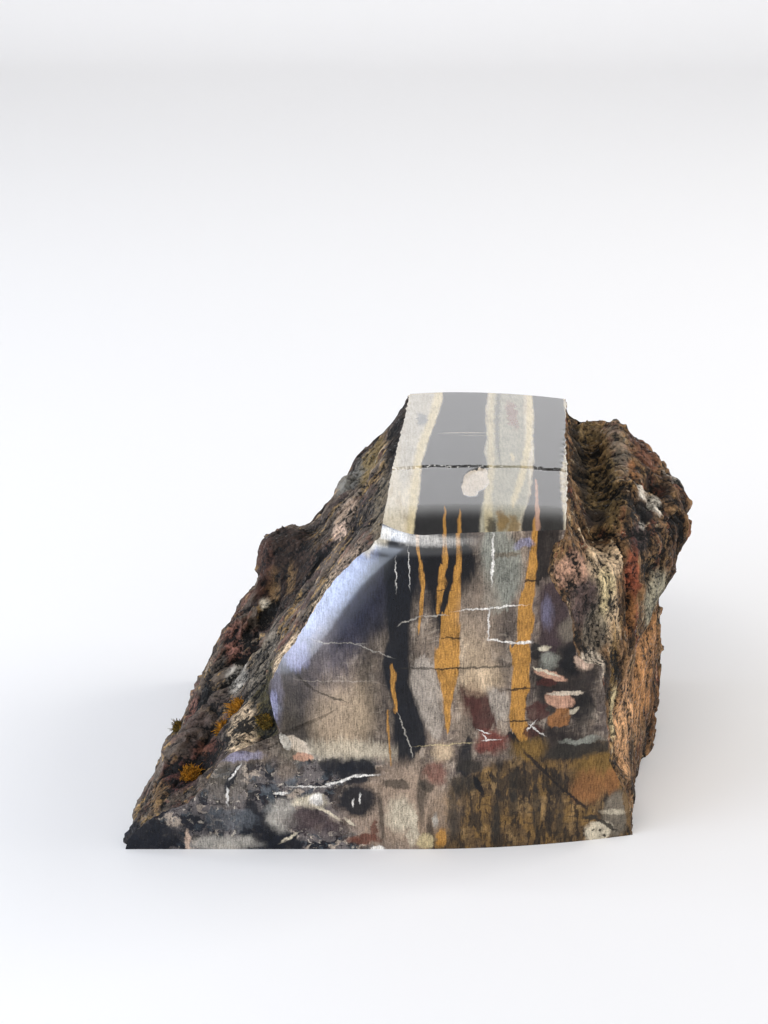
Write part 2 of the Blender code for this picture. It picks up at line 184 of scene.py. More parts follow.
# Small relief of the broken faces, each (size, height): flat breaks that meet in steps, deep narrow cracks
# and torn fibres that run up the stone, and the grains of the crumbling strip beside the polished faces. A
# flat break's spread turns its middle into a tilt of its own.
FACETS = ((9.0, 1.15), (4.0, 0.6))
FACET_STRETCH = (1.0, 1.0, 0.5)
FACET_TILT = 2.2
FACET_SPREAD = 37.0
CREVICES = (6.5, 1.2)
CREVICE_STRETCH = (1.0, 1.0, 0.28)
CREVICE_SHARPNESS = 4.0
TORN_FIBRES = (2.4, 0.5)
TORN_STRETCH = (1.0, 1.0, 0.16)
GRAINS = (2.1, 0.9)
GRIT = (1.4, 0.22)
SMALL_FADE = 1.6

# How wide the crumbling strip is, by what share it has less of the flat breaks and the cracks, how much of
# its grains the rest of the stone has, and the height of a grain that lies level with the plain surface.
GRAINY_WIDTH = 9.0
GRAINY_FLATTER = 0.7
GRAINY_CLOSER = 0.6
GRAINS_ELSEWHERE = 0.1
GRAIN_LEVEL = 0.6

# Where the stone came away along its grain it is smooth: (place, reach, share of the relief that is left),
# fading from this share of the reach over that one.
SMOOTH_PLACES = (
    ((80.0, 40.0, 30.0), (14.0, 34.0, 27.0), 0.3),
    ((83.0, 42.0, 62.0), (8.0, 16.0, 9.0), 0.35),
    ((-30.0, 62.0, 66.0), (10.0, 14.0, 14.0), 0.6),
)
SMOOTH_FROM = 0.8
SMOOTH_OVER = 0.4

# The left flank's fibres follow its slope and the others stand upright. The one way passes into the other
# over this width, from this x on the table and further right by this share of the height.
LEANING_TO_X = -15.0
LEANING_RISE = 0.35
LEANING_FADE = 25.0

# No break goes nearer the table than this. The crest attribute, which the broken faces' material reads to
# paint shade into the hollows and highlight onto the crests, is this level and share of the small relief.
LOWEST_BREAK = 0.1
CREST_LEVEL = 0.5
CREST_SHARE = 0.3

# How a flank's polished edges wander, as (size, share) layers, how far and how soon that fades, and the least
# share of it that still moves a point.
RAGGED_EDGE = ((2.6, 1.0), (1.04, 0.5))
RAGGED_HEIGHT = 0.5
RAGGED_FADE = 2.5
RAGGED_LEAST = 0.02

# The crack across the band with its wandering and its small jags, the flake that has come off in front of it,
# and the crumbled right rim, which runs from this x at the front to the right over the band's length.
CRACK_Y = 47.6
CRACK_WANDER = (9.0, 0.9)
CRACK_JAG = (1.6, 0.35)
BAND_JAG = ((2.6, 0.18), (1.1, 0.1))
FLAKE_DEPTH = 0.45
FLAKE_WALL = 0.6
BAND_RIM_X = 50.9
BAND_RIM_RUN = 11.07
BAND_RIM_LENGTH = 150.0
BAND_RIM_WIDTH = 2.2
BAND_RIM_DEPTH = 0.9
BAND_RIM_JAG = 4.0
BAND_RIM_BREAK = (2.2, 0.4)

# The chips of the front, each (middle, half its width and height, turn in degrees, depth), with jagged walls.
CHIP_JAG = ((2.4, 0.16), (1.0, 0.08))
CHIP_WALL = 0.4
CHIPS = (
    ((-25.0, 35.2), (3.0, 5.2), 42.0, 1.1),
    ((-23.5, 31.2), (3.6, 1.8), 0.0, 0.8),
    ((48.0, 54.6), (4.8, 2.0), -18.0, 0.7),
    ((51.0, 49.0), (6.0, 2.2), -4.0, 0.8),
    ((47.5, 41.5), (4.5, 3.6), 10.0, 0.45),
    ((43.6, 64.0), (1.3, 3.0), 0.0, 0.5),
    ((58.5, 50.0), (3.0, 5.5), 10.0, 0.8),
    ((55.5, 60.0), (3.2, 3.6), 0.0, 0.7),
)


def smooth_step(value):
    """0 below 0 and 1 above 1, with an even curve between."""
    value = np.clip(value, 0.0, 1.0)
    return value * value * (3.0 - 2.0 * value)


def curve_through(knots, values, at):
    """A smooth curve through values at knots that never swings past them. Values may hold several columns."""
    knots = np.asarray(knots, float)
    values = np.asarray(values, float)
    steps = np.diff(knots)
    slopes = np.diff(values, axis=0) / steps.reshape(-1, *[1] * (values.ndim - 1))
    tangents = np.zeros_like(values)
    same_way = slopes[:-1] * slopes[1:] > 0
    total = slopes[:-1] + slopes[1:]
    tangents[1:-1] = np.where(same_way, 2 * slopes[:-1] * slopes[1:] / np.where(same_way, total, 1.0), 0.0)
    tangents[0], tangents[-1] = slopes[0], slopes[-1]
    spans = np.clip(np.searchsorted(knots, at, side="right") - 1, 0, len(steps) - 1)
    shape = (-1, *[1] * (values.ndim - 1))
    width = steps[spans].reshape(shape)
    t = ((at - knots[spans]) / steps[spans]).reshape(shape)
    start, end = values[spans], values[spans + 1]
    leave, arrive = tangents[spans] * width, tangents[spans + 1] * width
    return (
        start * (2 * t**3 - 3 * t**2 + 1)
        + leave * (t**3 - 2 * t**2 + t)
        + end * (3 * t**2 - 2 * t**3)
        + arrive * (t**3 - t**2)
    )


def rounded_over(distance, width, angle):
    """How far a surface has fallen away at this distance from an edge that is rounded over to that angle."""
    return 0.5 * math.tan(angle) / width * np.clip(width - distance, 0.0, None) ** 2


def band_height(x, y):
    """The height of the polished band."""
    crown = BAND_CROWN * (x - BAND_CROWN_MIDDLE_X) ** 2
    return BAND_HEIGHT - crown - rounded_over(y, BAND_CURVE_LENGTH, BAND_CURVE_ANGLE)


def front_depth(x, z, from_left):
    """The depth of the polished front, for points at this distance from its left edge."""
    fall = FRONT_FALL * np.clip((x - FRONT_FALL_START_X) / FRONT_FALL_LENGTH, 0.0, None) ** 2
    bulge = FRONT_BULGE * (z - FRONT_BULGE_HEIGHT) ** 2
    left = rounded_over(from_left, LEFT_ROUND_WIDTH, LEFT_ROUND_ANGLE)
    left = left * smooth_step((z - LEFT_ROUND_FOOT) / LEFT_ROUND_WIDTH)
    top = rounded_over(RIDGE_HEIGHT - z, TOP_ROUND_WIDTH, TOP_ROUND_ANGLE)
    return fall + bulge + left + top


def back_depth(x, z):
    """The depth of the broken back."""
    swell = BACK_SWELL * np.sin(math.pi * z / BACK_SWELL_HEIGHT)
    sides = BACK_SIDE_FALL * ((x - FOOTPRINT_MIDDLE_X) / BACK_HALF_WIDTH) ** 2
    return BACK_TOP_DEPTH + swell - sides


def row_knots(profiles):
    """Where each of the profiles' points lies along them, from 0 to 1."""
    lengths = np.linalg.norm(np.diff(profiles, axis=1), axis=2).mean(axis=0)
    return np.concatenate([[0.0], np.cumsum(lengths)]) / lengths.sum()


def flank(sections, rows, columns):
    """The (x, z) of a flank at each row, from 0 at the table to 1 at the band, and column, from 0 at the
    front to 1 at the back, as an array indexed by column and row."""
    shares = np.array([share for share, _ in sections])
    profiles = np.array([profile for _, profile in sections], float)
    profiles[:, -1, 1] = band_height(profiles[:, -1, 0], shares * BACK_TOP_DEPTH)
    along = curve_through(row_knots(profiles), profiles.transpose(1, 0, 2), rows)
    return curve_through(shares, along.transpose(1, 0, 2), columns)


def middle_line(rows):
    """The (x, z) of the line up the middle of the front and the back at each row."""
    profile = np.array(MIDDLE_LINE, float)
    profile[-1, 1] = band_height(profile[-1, 0], 0.0)
    return curve_through(row_knots(profile[None]), profile, rows)


def seed_shift(seed):
    """How far a pattern is moved, so that each seed gives another part of the noise."""
    return Vector((seed * 7.31, seed * 3.17, seed * 5.79))


def rough(points, size, seed):
    """Noise between about -1 and 1 at each point, with lumps of this size in millimetres."""
    shift = seed_shift(seed)
    return np.array([noise.noise(Vector(p) / size + shift) for p in points])


def layered(points, layers, seed):
    """Noise of several sizes added up, each layer (size, height) with a seed of its own from this one on."""
    return sum(height * rough(points, size, seed + number) for number, (size, height) in enumerate(layers))


def upright(points):
    """The points with the left flank's slope stood upright, so that fibres drawn up them follow its grain."""
    leaned = points.copy()
    from_left = points[:, 0] - LEANING_TO_X - points[:, 2] * LEANING_RISE
    on_left = 1.0 - smooth_step(from_left / LEANING_FADE)
    leaned[:, 0] -= on_left * points[:, 2] / math.tan(LEFT_SLOPE)
    return leaned


def facets(points, size, seed):
    """The height, about -1 to 1, of flat breaks of this size, each tilted its own way."""
    shift = seed_shift(seed)
    half = Vector((0.5, 0.5, 0.5))
    heights = []
    for point in points:
        spot = Vector(point) / size + shift
        middle = noise.voronoi(spot)[1][0]
        tilt = noise.cell_vector(middle * FACET_SPREAD) - half
        heights.append(FACET_TILT * (spot - middle).dot(tilt) + tilt.z)
    return np.array(heights)


def grains(points, size, seed):
    """The height, 0 to 1, of rounded grains of this size packed together."""
    shift = seed_shift(seed)
    nearest = [noise.voronoi(Vector(point) / size + shift)[0][0] for point in points]
    return 1.0 - np.clip(nearest, 0.0, 1.0)


def single_forms(points):
    """How far the single ridges, knobs and hollows stand out at each point."""
    height = np.zeros(len(points))
    for start, end, reach, rise in SINGLE_FORMS:
        start, run = np.array(start, float), np.subtract(end, start)
        along = np.clip((points - start) @ run / max(run @ run, 1.0), 0.0, 1.0)
        distance = np.linalg.norm(points - start - along[:, None] * run, axis=1)
        height += rise * (1.0 - smooth_step(distance / reach))
    return height


def relief(points):
    """How far the broken stone stands out from the plain shape at each point."""
    size, height = FIBRES
    fibres = height * rough(points * FIBRE_STRETCH, size, 3)
    return layered(points, LUMPS, 1) + fibres + single_forms(points)


def small_relief(points, from_edge):
    """The small breaks of the stone, for points this far from a polished edge."""
    leaned = upright(points)
    height = np.zeros(len(points))
    for number, (size, rise) in enumerate(FACETS):
        height += rise * facets(leaned * FACET_STRETCH, size, 4 + number)
    grainy = 1.0 - smooth_step((from_edge - GRAINY_WIDTH * 0.5) / GRAINY_WIDTH)
    height *= 1.0 - GRAINY_FLATTER * grainy
    size, depth = CREVICES
    from_crevice = np.abs(rough(leaned * CREVICE_STRETCH, size, 8)) * CREVICE_SHARPNESS
    crevice = 1.0 - np.clip(from_crevice, 0.0, 1.0)
    height -= depth * crevice**2 * (1.0 - GRAINY_CLOSER * grainy)
    size, rise = TORN_FIBRES
    height += rise * rough(leaned * TORN_STRETCH, size, 9)
    size, rise = GRAINS
    height += rise * (GRAINS_ELSEWHERE + grainy) * (grains(points, size, 7) - GRAIN_LEVEL)
    size, rise = GRIT
    height += rise * rough(points, size, 6)
    for place, reach, share in SMOOTH_PLACES:
        away = np.linalg.norm((points - place) / reach, axis=1)
        height *= 1.0 - (1.0 - share) * (1.0 - smooth_step((away - SMOOTH_FROM) / SMOOTH_OVER))
    return height


def crowded(shares):
    """The cube's depth shares, drawn together at the crack."""
    even, drawn = np.array(CROWDED_COLUMNS).T
    return np.interp(shares, even, drawn)


def ragged(side, rows, columns, seed):
    """Moves a flank's polished edges in and out along the surface beside them, as a broken edge wanders."""
    tangent = np.gradient(side, axis=1)
    outward = np.stack([-tangent[..., 1], tangent[..., 0]], axis=2)
    outward /= np.linalg.norm(outward, axis=2, keepdims=True) + 1e-9
    from_front = columns[:, None] * BACK_TOP_DEPTH
    from_band = (1.0 - rows[None, :]) * FLANK_LENGTH
    near_edge = np.exp(-(np.minimum(from_front, from_band) / RAGGED_FADE) ** 2)
    places = np.dstack([np.broadcast_to(from_front, near_edge.shape), side[..., 0], side[..., 1]])
    wander = np.zeros(near_edge.size)
    close = near_edge.ravel() > RAGGED_LEAST
    wander[close] = layered(places.reshape(-1, 3)[close], RAGGED_EDGE, seed)
    moved = RAGGED_HEIGHT * near_edge * wander.reshape(near_edge.shape)
    off_table = smooth_step(rows * FLANK_LENGTH / RAGGED_FADE)[None, :, None]
    return side + outward * moved[..., None] * off_table


def stone_points(cube):
    """Where each point of a unit cube's surface lies on the stone, in millimetres. The cube's sides are the
    stone's faces."""
    across, deep, high = cube.T
    rows, row_index = np.unique(high, return_inverse=True)
    columns, column_index = np.unique(deep, return_inverse=True)
    even_left = flank(LEFT_FLANK, rows, columns)
    left = ragged(even_left, rows, columns, 11)[column_index, row_index]
    right = ragged(flank(RIGHT_FLANK, rows, columns), rows, columns, 13)[column_index, row_index]
    middle = middle_line(rows)[row_index]
    near_left = np.clip(across / MIDDLE_SHARE, 0.0, 1.0)[:, None]
    near_right = np.clip((across - MIDDLE_SHARE) / (1.0 - MIDDLE_SHARE), 0.0, 1.0)[:, None]
    left_part = left + (middle - left) * near_left
    right_part = middle + (right - middle) * near_right
    x, z = np.where(near_left < 1.0, left_part, right_part).T
    from_left = (x - even_left[column_index, row_index, 0]) * math.sin(LEFT_SLOPE)
    front = front_depth(x, z, from_left)
    y = front + (back_depth(x, z) - front) * deep
    z = np.where(high > 1.0 - ON_SIDE, band_height(x, y), z)
    return np.stack([x, y, z], axis=1)


def crack_line(x):
    """The depth at which the crack crosses the band."""
    line = np.full(len(x), CRACK_Y)
    for (size, height), row in ((CRACK_WANDER, 0.0), (CRACK_JAG, 9.0)):
        line += height * np.array([noise.noise(Vector((value / size, row, 4.0))) for value in x])
    return line


def band_relief(points, look):
    """How deep the band is broken at each point: the crack, the flake in front of it and the right rim."""
    x, y, _ = points.T
    from_crack = np.abs(y - crack_line(x)) / (look.crack_width / MILLIMETRE)
    crack = look.crack_depth / MILLIMETRE * (1.0 - smooth_step(from_crack))
    jag = layered(points, BAND_JAG, 21)
    along, middle, half = np.array(BAND_STRIPES[-1][3], float).T
    off = np.interp(y, along, half) - np.abs(x - np.interp(y, along, middle))
    flake = FLAKE_DEPTH * smooth_step((off + jag) / FLAKE_WALL)
    rim_edge = BAND_RIM_X + BAND_RIM_RUN * smooth_step(y / BAND_RIM_LENGTH)
    rim = smooth_step((x - rim_edge + BAND_RIM_WIDTH * 0.5 + jag * BAND_RIM_JAG) / BAND_RIM_WIDTH)
    size, share = BAND_RIM_BREAK
    return crack + flake + BAND_RIM_DEPTH * rim * (1.0 - share + share * rough(points, size, 23))


def front_relief(points):
    """How deep the front is chipped at each point."""
    x, _, z = points.T
    depth = np.zeros(len(points))
    jag = layered(points, CHIP_JAG, 31)
    for (centre_x, centre_z), (half_width, half_height), turn, deep in CHIPS:
        c, s = math.cos(math.radians(turn)), math.sin(math.radians(turn))
        across = ((x - centre_x) * c + (z - centre_z) * s) / half_width
        up = ((z - centre_z) * c - (x - centre_x) * s) / half_height
        inside = 1.0 - np.sqrt(across**2 + up**2) + jag
        depth = np.maximum(depth, deep * smooth_step(inside / CHIP_WALL))
    return depth


def block():
    """A bmesh of the unit block that the stone is shaped from, cut into faces along each side."""
    mesh = bmesh.new()
    bmesh.ops.create_cube(mesh, size=1.0)
    bmesh.ops.translate(mesh, verts=mesh.verts, vec=(0.5, 0.5, 0.5))
    for axis, faces in enumerate((FACES_ACROSS, FACES_DEEP, FACES_HIGH)):
        along = [e for e in mesh.edges if abs((e.verts[0].co - e.verts[1].co)[axis]) > 0.5]
        bmesh.ops.subdivide_edges(mesh, edges=along, cuts=faces - 1, use_grid_fill=True)
    return mesh


def move_points(mesh, points):
    """Moves the mesh's vertices to these points."""
    for vertex, point in zip(mesh.verts, points):
        vertex.co = point
    mesh.normal_update()


def face_sides(mesh):
    """Which side of the unit block each face lies on: 0 band, 1 left, 2 right, 3 back, 4 base and 5 front."""
    sides = []
    for face in mesh.faces:
        across, deep, high = face.calc_center_median()
        order = (high > 1.0 - ON_SIDE, across < ON_SIDE, across > 1.0 - ON_SIDE, deep > 1.0 - ON_SIDE,
                 high < ON_SIDE, deep < ON_SIDE)
        sides.append(order.index(True))
    return sides


def name_zones(mesh):
    """Gives each face of the front, in millimetres, the material of the zone it lies in."""
    for face in mesh.faces:
        if face.material_index == FRONT:
            x, _, z = face.calc_center_median()
            for number, (_, low, high) in enumerate(FRONT_ZONES):
                if low[0] <= x < high[0] and low[1] <= z < high[1]:
                    face.material_index = FRONT + number


def stone_mesh(look):
    """The stone, in millimetres, with a material index for each of its sides."""
    mesh = block()
    for face, side in zip(mesh.faces, face_sides(mesh)):
        face.material_index = side
    cube = np.array([v.co for v in mesh.verts])
    cube[:, 1] = crowded(cube[:, 1])
    across, deep, high = cube.T
    points = stone_points(cube)
    move_points(mesh, points)
    outward = np.array([v.normal for v in mesh.verts])
    foot = high < ON_SIDE
    outward[foot, 2] = 0.0
    broken = (across < ON_SIDE) | (across > 1.0 - ON_SIDE) | (deep > 1.0 - ON_SIDE)
    from_front = deep * BACK_TOP_DEPTH
    from_band = (1.0 - high) * FLANK_LENGTH
    broad = np.zeros(len(points))
    small = np.zeros(len(points))
    broad[broken] = relief(points[broken])
    broad *= smooth_step(from_front / EDGE_FADE) * smooth_step(from_band / EDGE_FADE)
    from_edge = np.minimum(from_front, from_band)
    small[broken] = small_relief(points[broken], from_edge[broken]) * look.breakage
    small *= smooth_step(from_front / SMALL_FADE) * smooth_step(from_band / SMALL_FADE)
    points = points + outward * (broad + small)[:, None]
    points[~foot, 2] = np.maximum(points[~foot, 2], LOWEST_BREAK)
    on_band = (high > 1.0 - ON_SIDE) & ~broken
    points[on_band, 2] -= band_relief(points[on_band], look)
    on_front = (deep < ON_SIDE) & ~broken & ~foot
    points[on_front, 1] += front_relief(points[on_front])
    inside_foot = foot & ~broken & (deep > ON_SIDE)
    # The crest attribute carries the small relief to the broken faces' material, which paints shade into its
    # hollows and highlight onto its crests.
    crest = mesh.verts.layers.float.new("crest")
    for vertex, height in zip(mesh.verts, CREST_LEVEL + CREST_SHARE * small):
        vertex[crest] = height
    move_points(mesh, points)
    name_zones(mesh)
    bmesh.ops.translate(mesh, verts=mesh.verts, vec=(-FOOTPRINT_MIDDLE_X, -FOOTPRINT_MIDDLE_Y, 0.0))
    spare = [v for v, inside in zip(mesh.verts, inside_foot) if inside]
    bmesh.ops.delete(mesh, geom=spare, context="VERTS")
    made = bmesh.ops.contextual_create(mesh, geom=[e for e in mesh.edges if e.is_boundary])
    for face in made["faces"]:
        face.material_index = BASE
    return mesh


def mesh_data(name, mesh):
    """Turns a bmesh into mesh data of this name."""
    data = bpy.data.meshes.new(name)
    mesh.to_mesh(data)
    mesh.free()
    return data


def add_object(name, data):
    """Puts a mesh, light or camera into the scene."""
    added = bpy.data.objects.new(name, data)
    bpy.context.scene.collection.objects.link(added)
    return added


def add_piece(name, mesh, materials, slot, *nodes):
    """Turns a bmesh in millimetres into a piece in metres that stands for these nodes."""
    bmesh.ops.scale(mesh, verts=mesh.verts, vec=(MILLIMETRE, MILLIMETRE, MILLIMETRE))
    bmesh.ops.recalc_face_normals(mesh, faces=mesh.faces)
    data = mesh_data(name, mesh)
    for material in materials:
        data.materials.append(material)
    data.shade_smooth()
    data.set_sharp_from_angle(angle=SHARP_EDGE)
    piece = add_object(name, data)
    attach(piece, "root")
    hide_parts(*nodes)
    return piece


def linear(hex_colour):
    """An sRGB hex colour as the linear red, green and blue that a shader takes."""
    channels = [int(hex_colour[start:start + 2], 16) / 255.0 for start in (0, 2, 4)]
    return tuple(c / 12.92 if c <= 0.04045 else ((c + 0.055) / 1.055) ** 2.4 for c in channels)


# A pattern that isn't drawn out along any axis.
EVEN = (1.0, 1.0, 1.0)

# The grounds of the front, each with its noise-shaped patches as (size, stretch, span, strength, colour):
# upright wood grain, and the two that are laid over it inside their own outlines, (middle, reach, edge) in x
# and z.
WOOD_GROUND = "8b7b6c"
WOOD_PATCHES = (
    (6.0, (0.25, 1.0, 1.0), (0.48, 0.6), 0.55, "4d4340"),
    (5.0, (1.0, 0.16, 1.0), (0.48, 0.58), 0.6, "524846"),
    (3.0, (1.0, 0.3, 1.0), (0.54, 0.62), 0.6, "b3a392"),
    (2.0, EVEN, (0.56, 0.64), 0.5, "3f3737"),
    (1.1, (0.12, 1.0, 1.0), (0.6, 0.68), 0.5, "b9aa98"),
)
AGATE_OUTLINES = (((-42, 8), (46, 22), 0.12), ((-14, 25), (17, 8), 0.2))
AGATE_GROUND = "6a6361"
AGATE_PATCHES = (
    (8.0, (1.0, 1.4, 1.0), (0.48, 0.54), 0.95, "14161f"),
    (6.0, EVEN, (0.54, 0.6), 0.9, "a8998a"),
    (4.0, (1.0, 1.3, 1.0), (0.54, 0.6), 0.8, "434a50"),
    (2.6, EVEN, (0.56, 0.62), 0.85, "231c20"),
    (1.5, EVEN, (0.6, 0.66), 0.75, "cbbfae"),
)
BARK_OUTLINES = (((50, 13), (34, 19), 0.1), ((20, 6), (10, 12), 0.3))
BARK_GROUND = "5c4830"
BARK_PATCHES = (
    (6.0, (0.7, 0.5, 1.0), (0.48, 0.56), 0.85, "7c5f36"),
    (4.0, (1.0, 0.3, 1.0), (0.5, 0.57), 0.85, "2d2620"),
    (4.5, (1.0, 0.5, 1.0), (0.55, 0.63), 0.5, "9a7c52"),
    (1.6, (1.0, 0.3, 1.0), (0.54, 0.6), 0.8, "211b18"),
    (1.2, (0.2, 1.0, 1.0), (0.58, 0.64), 0.6, "3a3025"),
)

# The stone's colours, in the words used for them in the tables of marks.
PALETTE = {
    "greige": WOOD_GROUND,
    "pale": "a79c90",
    "ink": "0c0d12",
    "slate": "10131a",
    "navy": "11141c",
    "purple_grey": "5f5a62",
    "lilac": "8b8aa8",
    "purple_brown": "3c2e31",
    "umber": "1d1716",
    "olive_grey": "85867c",
    "maroon": "43231f",
    "brick": "6b342c",
    "ochre": "b07f3c",
    "old_ochre": "7a5d2c",
    "sienna": "8d5f38",
    "brown": "6f5637",
    "cocoa": "5c4a36",
    "cream": "c9bda6",
    "white": "e6e1da",
    "blush": "c9ad98",
    "beige": "a18b77",
    "cloud": "a8a298",
    "smoke": "5d6166",
    "cinder": "2c2823",
    "rust": "60392d",
    "clay": "7a5145",
    "yellow_cream": "c8b68c",
    "reed": "8f8b78",
    "pinkish": "b98f78",
    "flake": "c6b7a4",
    "plum": "4c3f3f",
    "bark_grey": "473d38",
    "gravel": "72695c",
    "grit": "6b604f",
    "sand": "cbb292",
    "mossy": "3c3720",
    "olive_brown": "6e5d3c",
    "slate_grey": "62605a",
    "pillar": "2b1f19",
    "bark_brown": "563e2a",
    "rust_red": "8a4a34",
    "clay_pink": "b08a74",
    "chalk": "b9b2a6",
    "dusk": "22263a",
    # sky: a bluish white painted highlight, the window's reflection along the front's rounded left edge, over
    # the rim's own lilac.
    "sky": "a8b4da",
    "slab": "a1744a",
    "slab_pale": "b98e66",
    "slab_dark": "654427",
}

# Upright stripes on the polished front. Each is (how soft its edge is in mm, its strength, its colour, its
# shape), and the shape is (z, x of its middle, half its width) from the bottom up. It ends where the half
# width is under 0.
FRONT_STRIPES = (
    (1.2, 0.75, "pale", (
        (36, 15, -2), (39, 15, 1.5), (42, 14.5, 2.6), (46, 13.2, 3.4), (50, 12.2, 3.6), (54, 11.5, 4.0),
        (58, 11.2, 3.6), (62, 11.5, 2.6), (66, 12, -2))),
    (0.9, 0.8, "pale", (
        (41, 32.5, -2), (43, 32.5, 1.5), (46, 33, 2.8), (50, 32.5, 3), (53, 31, 1.5), (55, 31, -2))),
    (1.4, 0.85, "olive_grey", (
        (76, 31, -2), (80, 32, 4), (86, 33, 5), (91, 33, 5.5), (96, 32, 5), (101, 31, 3), (104, 31, -2))),
    (0.8, 0.97, "slate", (
        (26, 6, -2), (28, 6, 1), (30, 6, 2), (33, 6.6, 2.9), (36, 7.6, 4.4), (40, 7, 4.5), (45, 6.4, 3.9),
        (50, 5.5, 3.6), (55, 3.7, 3.6), (60, 3.4, 3.9), (65, 3.6, 3.4), (70, 4, 3), (75, 3.8, 3.2),
        (80, 4.2, 3.6), (85, 4.8, 4.2), (90, 4.6, 5), (95, 4.5, 5.5), (104, 5, 5.5))),
    (1.6, 0.96, "ink", (
        (70, 16, -2), (72, 16, 0.8), (76, 16, 2), (80, 16.5, 3.5), (83.5, 18, 5), (85, 18.5, 6.5),
        (88, 18.3, 7.2), (92, 18, 7.8), (96, 17.5, 7), (99, 17, 5), (104, 17, 3))),
    (0.8, 0.95, "umber", (
        (84, 43.2, -2), (86, 43.7, 1.4), (88, 44.4, 2.2), (91, 45.3, 2.8), (95, 45.5, 3.2),
        (100, 45.5, 3.6), (104, 45, 3.4))),
    (1.0, 0.9, "purple_brown", (
        (62, 47, -2), (64, 47, 2), (68, 47.5, 3.2), (74, 48, 4), (80, 47.5, 3.8), (84, 46.5, 2),
        (87, 46, -2))),
    (0.9, 0.9, "maroon", (
        (37, 29, -2), (40, 29, 2.5), (42, 28.5, 3.6), (45, 28, 3.5), (49, 26.5, 3.5), (52, 25.5, 3.6),
        (54, 24, 1.5), (56, 24, -2))),
    (0.5, 0.95, "ink", (
        (32, 39, -2), (33.5, 39, 1), (34.5, 38.8, 2), (36, 38.3, 2.3), (38, 37, 1.6), (40, 36, -2))),
    (0.7, 0.9, "slate", (
        (23, 23, -2), (26, 23, 2), (29, 23.3, 2.2), (33, 23.5, 1.6), (36.5, 24, 0.8), (38, 24, -2))),
    (0.25, 0.95, "ochre", (
        (70, 9.8, -1), (72, 9.8, 0.15), (76, 10.1, 0.35), (80, 10.7, 0.5), (84, 11.1, 0.55),
        (88, 10.8, 0.55), (92, 10.2, 0.5), (96, 9.3, 0.45), (104, 9.4, 0.5))),
    (0.25, 0.95, "ochre", (
        (75.5, 15.5, -1), (77, 15.5, 0.3), (80, 15.7, 0.5), (84, 16, 0.9), (88, 16.2, 1),
        (90.6, 16.4, 0.95), (91.4, 17, 0.6), (97, 17, 0.55), (104, 16.6, 0.6))),
    (0.3, 0.96, "ochre", (
        (38.5, 18.6, -1), (41, 18.6, 0.5), (44, 18.5, 0.8), (48, 18.2, 1.1), (52, 18.4, 1.7),
        (56, 18.3, 2.3), (60, 18, 2.9), (63, 17.8, 3.5), (66, 18, 3.4), (69.5, 18.5, 2.7), (72, 18.7, 2.7),
        (76, 18.8, 2.4), (78, 19.2, 2), (82, 19.6, 1.5), (86, 19.8, 1.1), (91, 20.1, 0.9), (97, 20.3, 0.6),
        (104, 20.4, 0.7))),
    (0.3, 0.96, "ochre", (
        (35.5, 40, -1), (37, 40, 1.2), (39, 39.4, 2), (42, 38.8, 2.2), (45, 38.4, 2.2), (50, 38.6, 2.2),
        (54, 39, 2.5), (60, 39, 2.4), (63, 39, 3), (66, 38.6, 3), (67.3, 39.5, 2.2), (69, 40.1, 2.4),
        (74, 40, 2.6), (78, 39.9, 2.1), (82, 40.5, 1.9), (86, 41, 1.6), (91, 41.6, 1.6), (94, 41.7, 1.1),
        (97, 42, 0.8), (104, 42.2, 0.8))),
    (0.25, 0.85, "ochre", (
        (44, 3.6, -1), (46, 3.4, 0.3), (50, 2.9, 0.5), (54, 2.4, 0.7), (58, 2.5, 0.8), (61, 2.2, 0.3),
        (63, 2.2, -1))),
    (0.25, 0.85, "ochre", (
        (27, 2, -1), (29, 2, 0.2), (34, 1.9, 0.3), (40, 1.5, 0.35), (46, 1.2, 0.25), (49, 1.2, -1))),
)

# Shades under the stripes of the polished front and marks over them, in the order they are laid on. Each is
# a soft-edged oval: (the view it is drawn in, (x, z) of its middle, half its width and height, its turn in
# degrees, how soft its edge is, its strength, its colour). In the grain view marks fray into upright fibres,
# in the cloud view they run together like agate, and in the vein view they are hardly disturbed.
FRONT_SHADES = (
    # A purple-grey zone beside the rounded left edge: painted shade.
    ("grain", (-17, 80), (16, 18), 0, 0.5, 0.6, "purple_grey"),
    ("grain", (-4, 90), (16, 15), 0, 0.5, 0.9, "slate"),
    ("grain", (12, 95), (14, 12), 0, 0.5, 0.85, "slate"),
    ("grain", (-5, 78), (7, 18), -35, 0.5, 0.9, "dusk"),
    ("grain", (-20, 56), (9, 14), 0, 0.6, 0.6, "purple_grey"),
    ("grain", (-5, 50), (2.5, 20), 0, 0.7, 0.5, "cinder"),
    ("grain", (25, 48), (2, 16), 0, 0.7, 0.5, "cinder"),
    ("grain", (34, 66), (3, 14), 0, 0.7, 0.4, "cinder"),
    ("grain", (3, 60), (9, 30), 0, 0.6, 0.5, "cinder"),
    ("grain", (28, 84), (9, 10), 0, 0.5, 0.5, "cinder"),
    ("cloud", (52, 56), (10, 16), 0, 0.25, 0.9, "umber"),
    ("cloud", (50, 78), (8, 12), 0, 0.4, 0.6, "plum"),
    # A band along the rounded left edge: partly the rim's own lilac, partly a painted highlight of the
    # window's reflection.
    ("vein", (-14.5, 82.5), (25, 3.6), 54, 0.7, 0.6, "sky"),
    ("grain", (-28, 48), (9, 18), 0, 0.7, 0.8, "cinder"),
    ("grain", (-24, 38), (6, 6), 0, 0.5, 0.6, "cinder"),
    ("grain", (-12, 44), (8, 12), 0, 0.5, 0.5, "sand"),
    ("grain", (-10, 33), (15, 3.5), 0, 0.5, 0.6, "cream"),
    ("grain", (25, 62), (6, 14), 0, 0.5, 0.5, "sand"),
    ("grain", (48, 34), (14, 6), 0, 0.4, 0.9, "umber"),
)
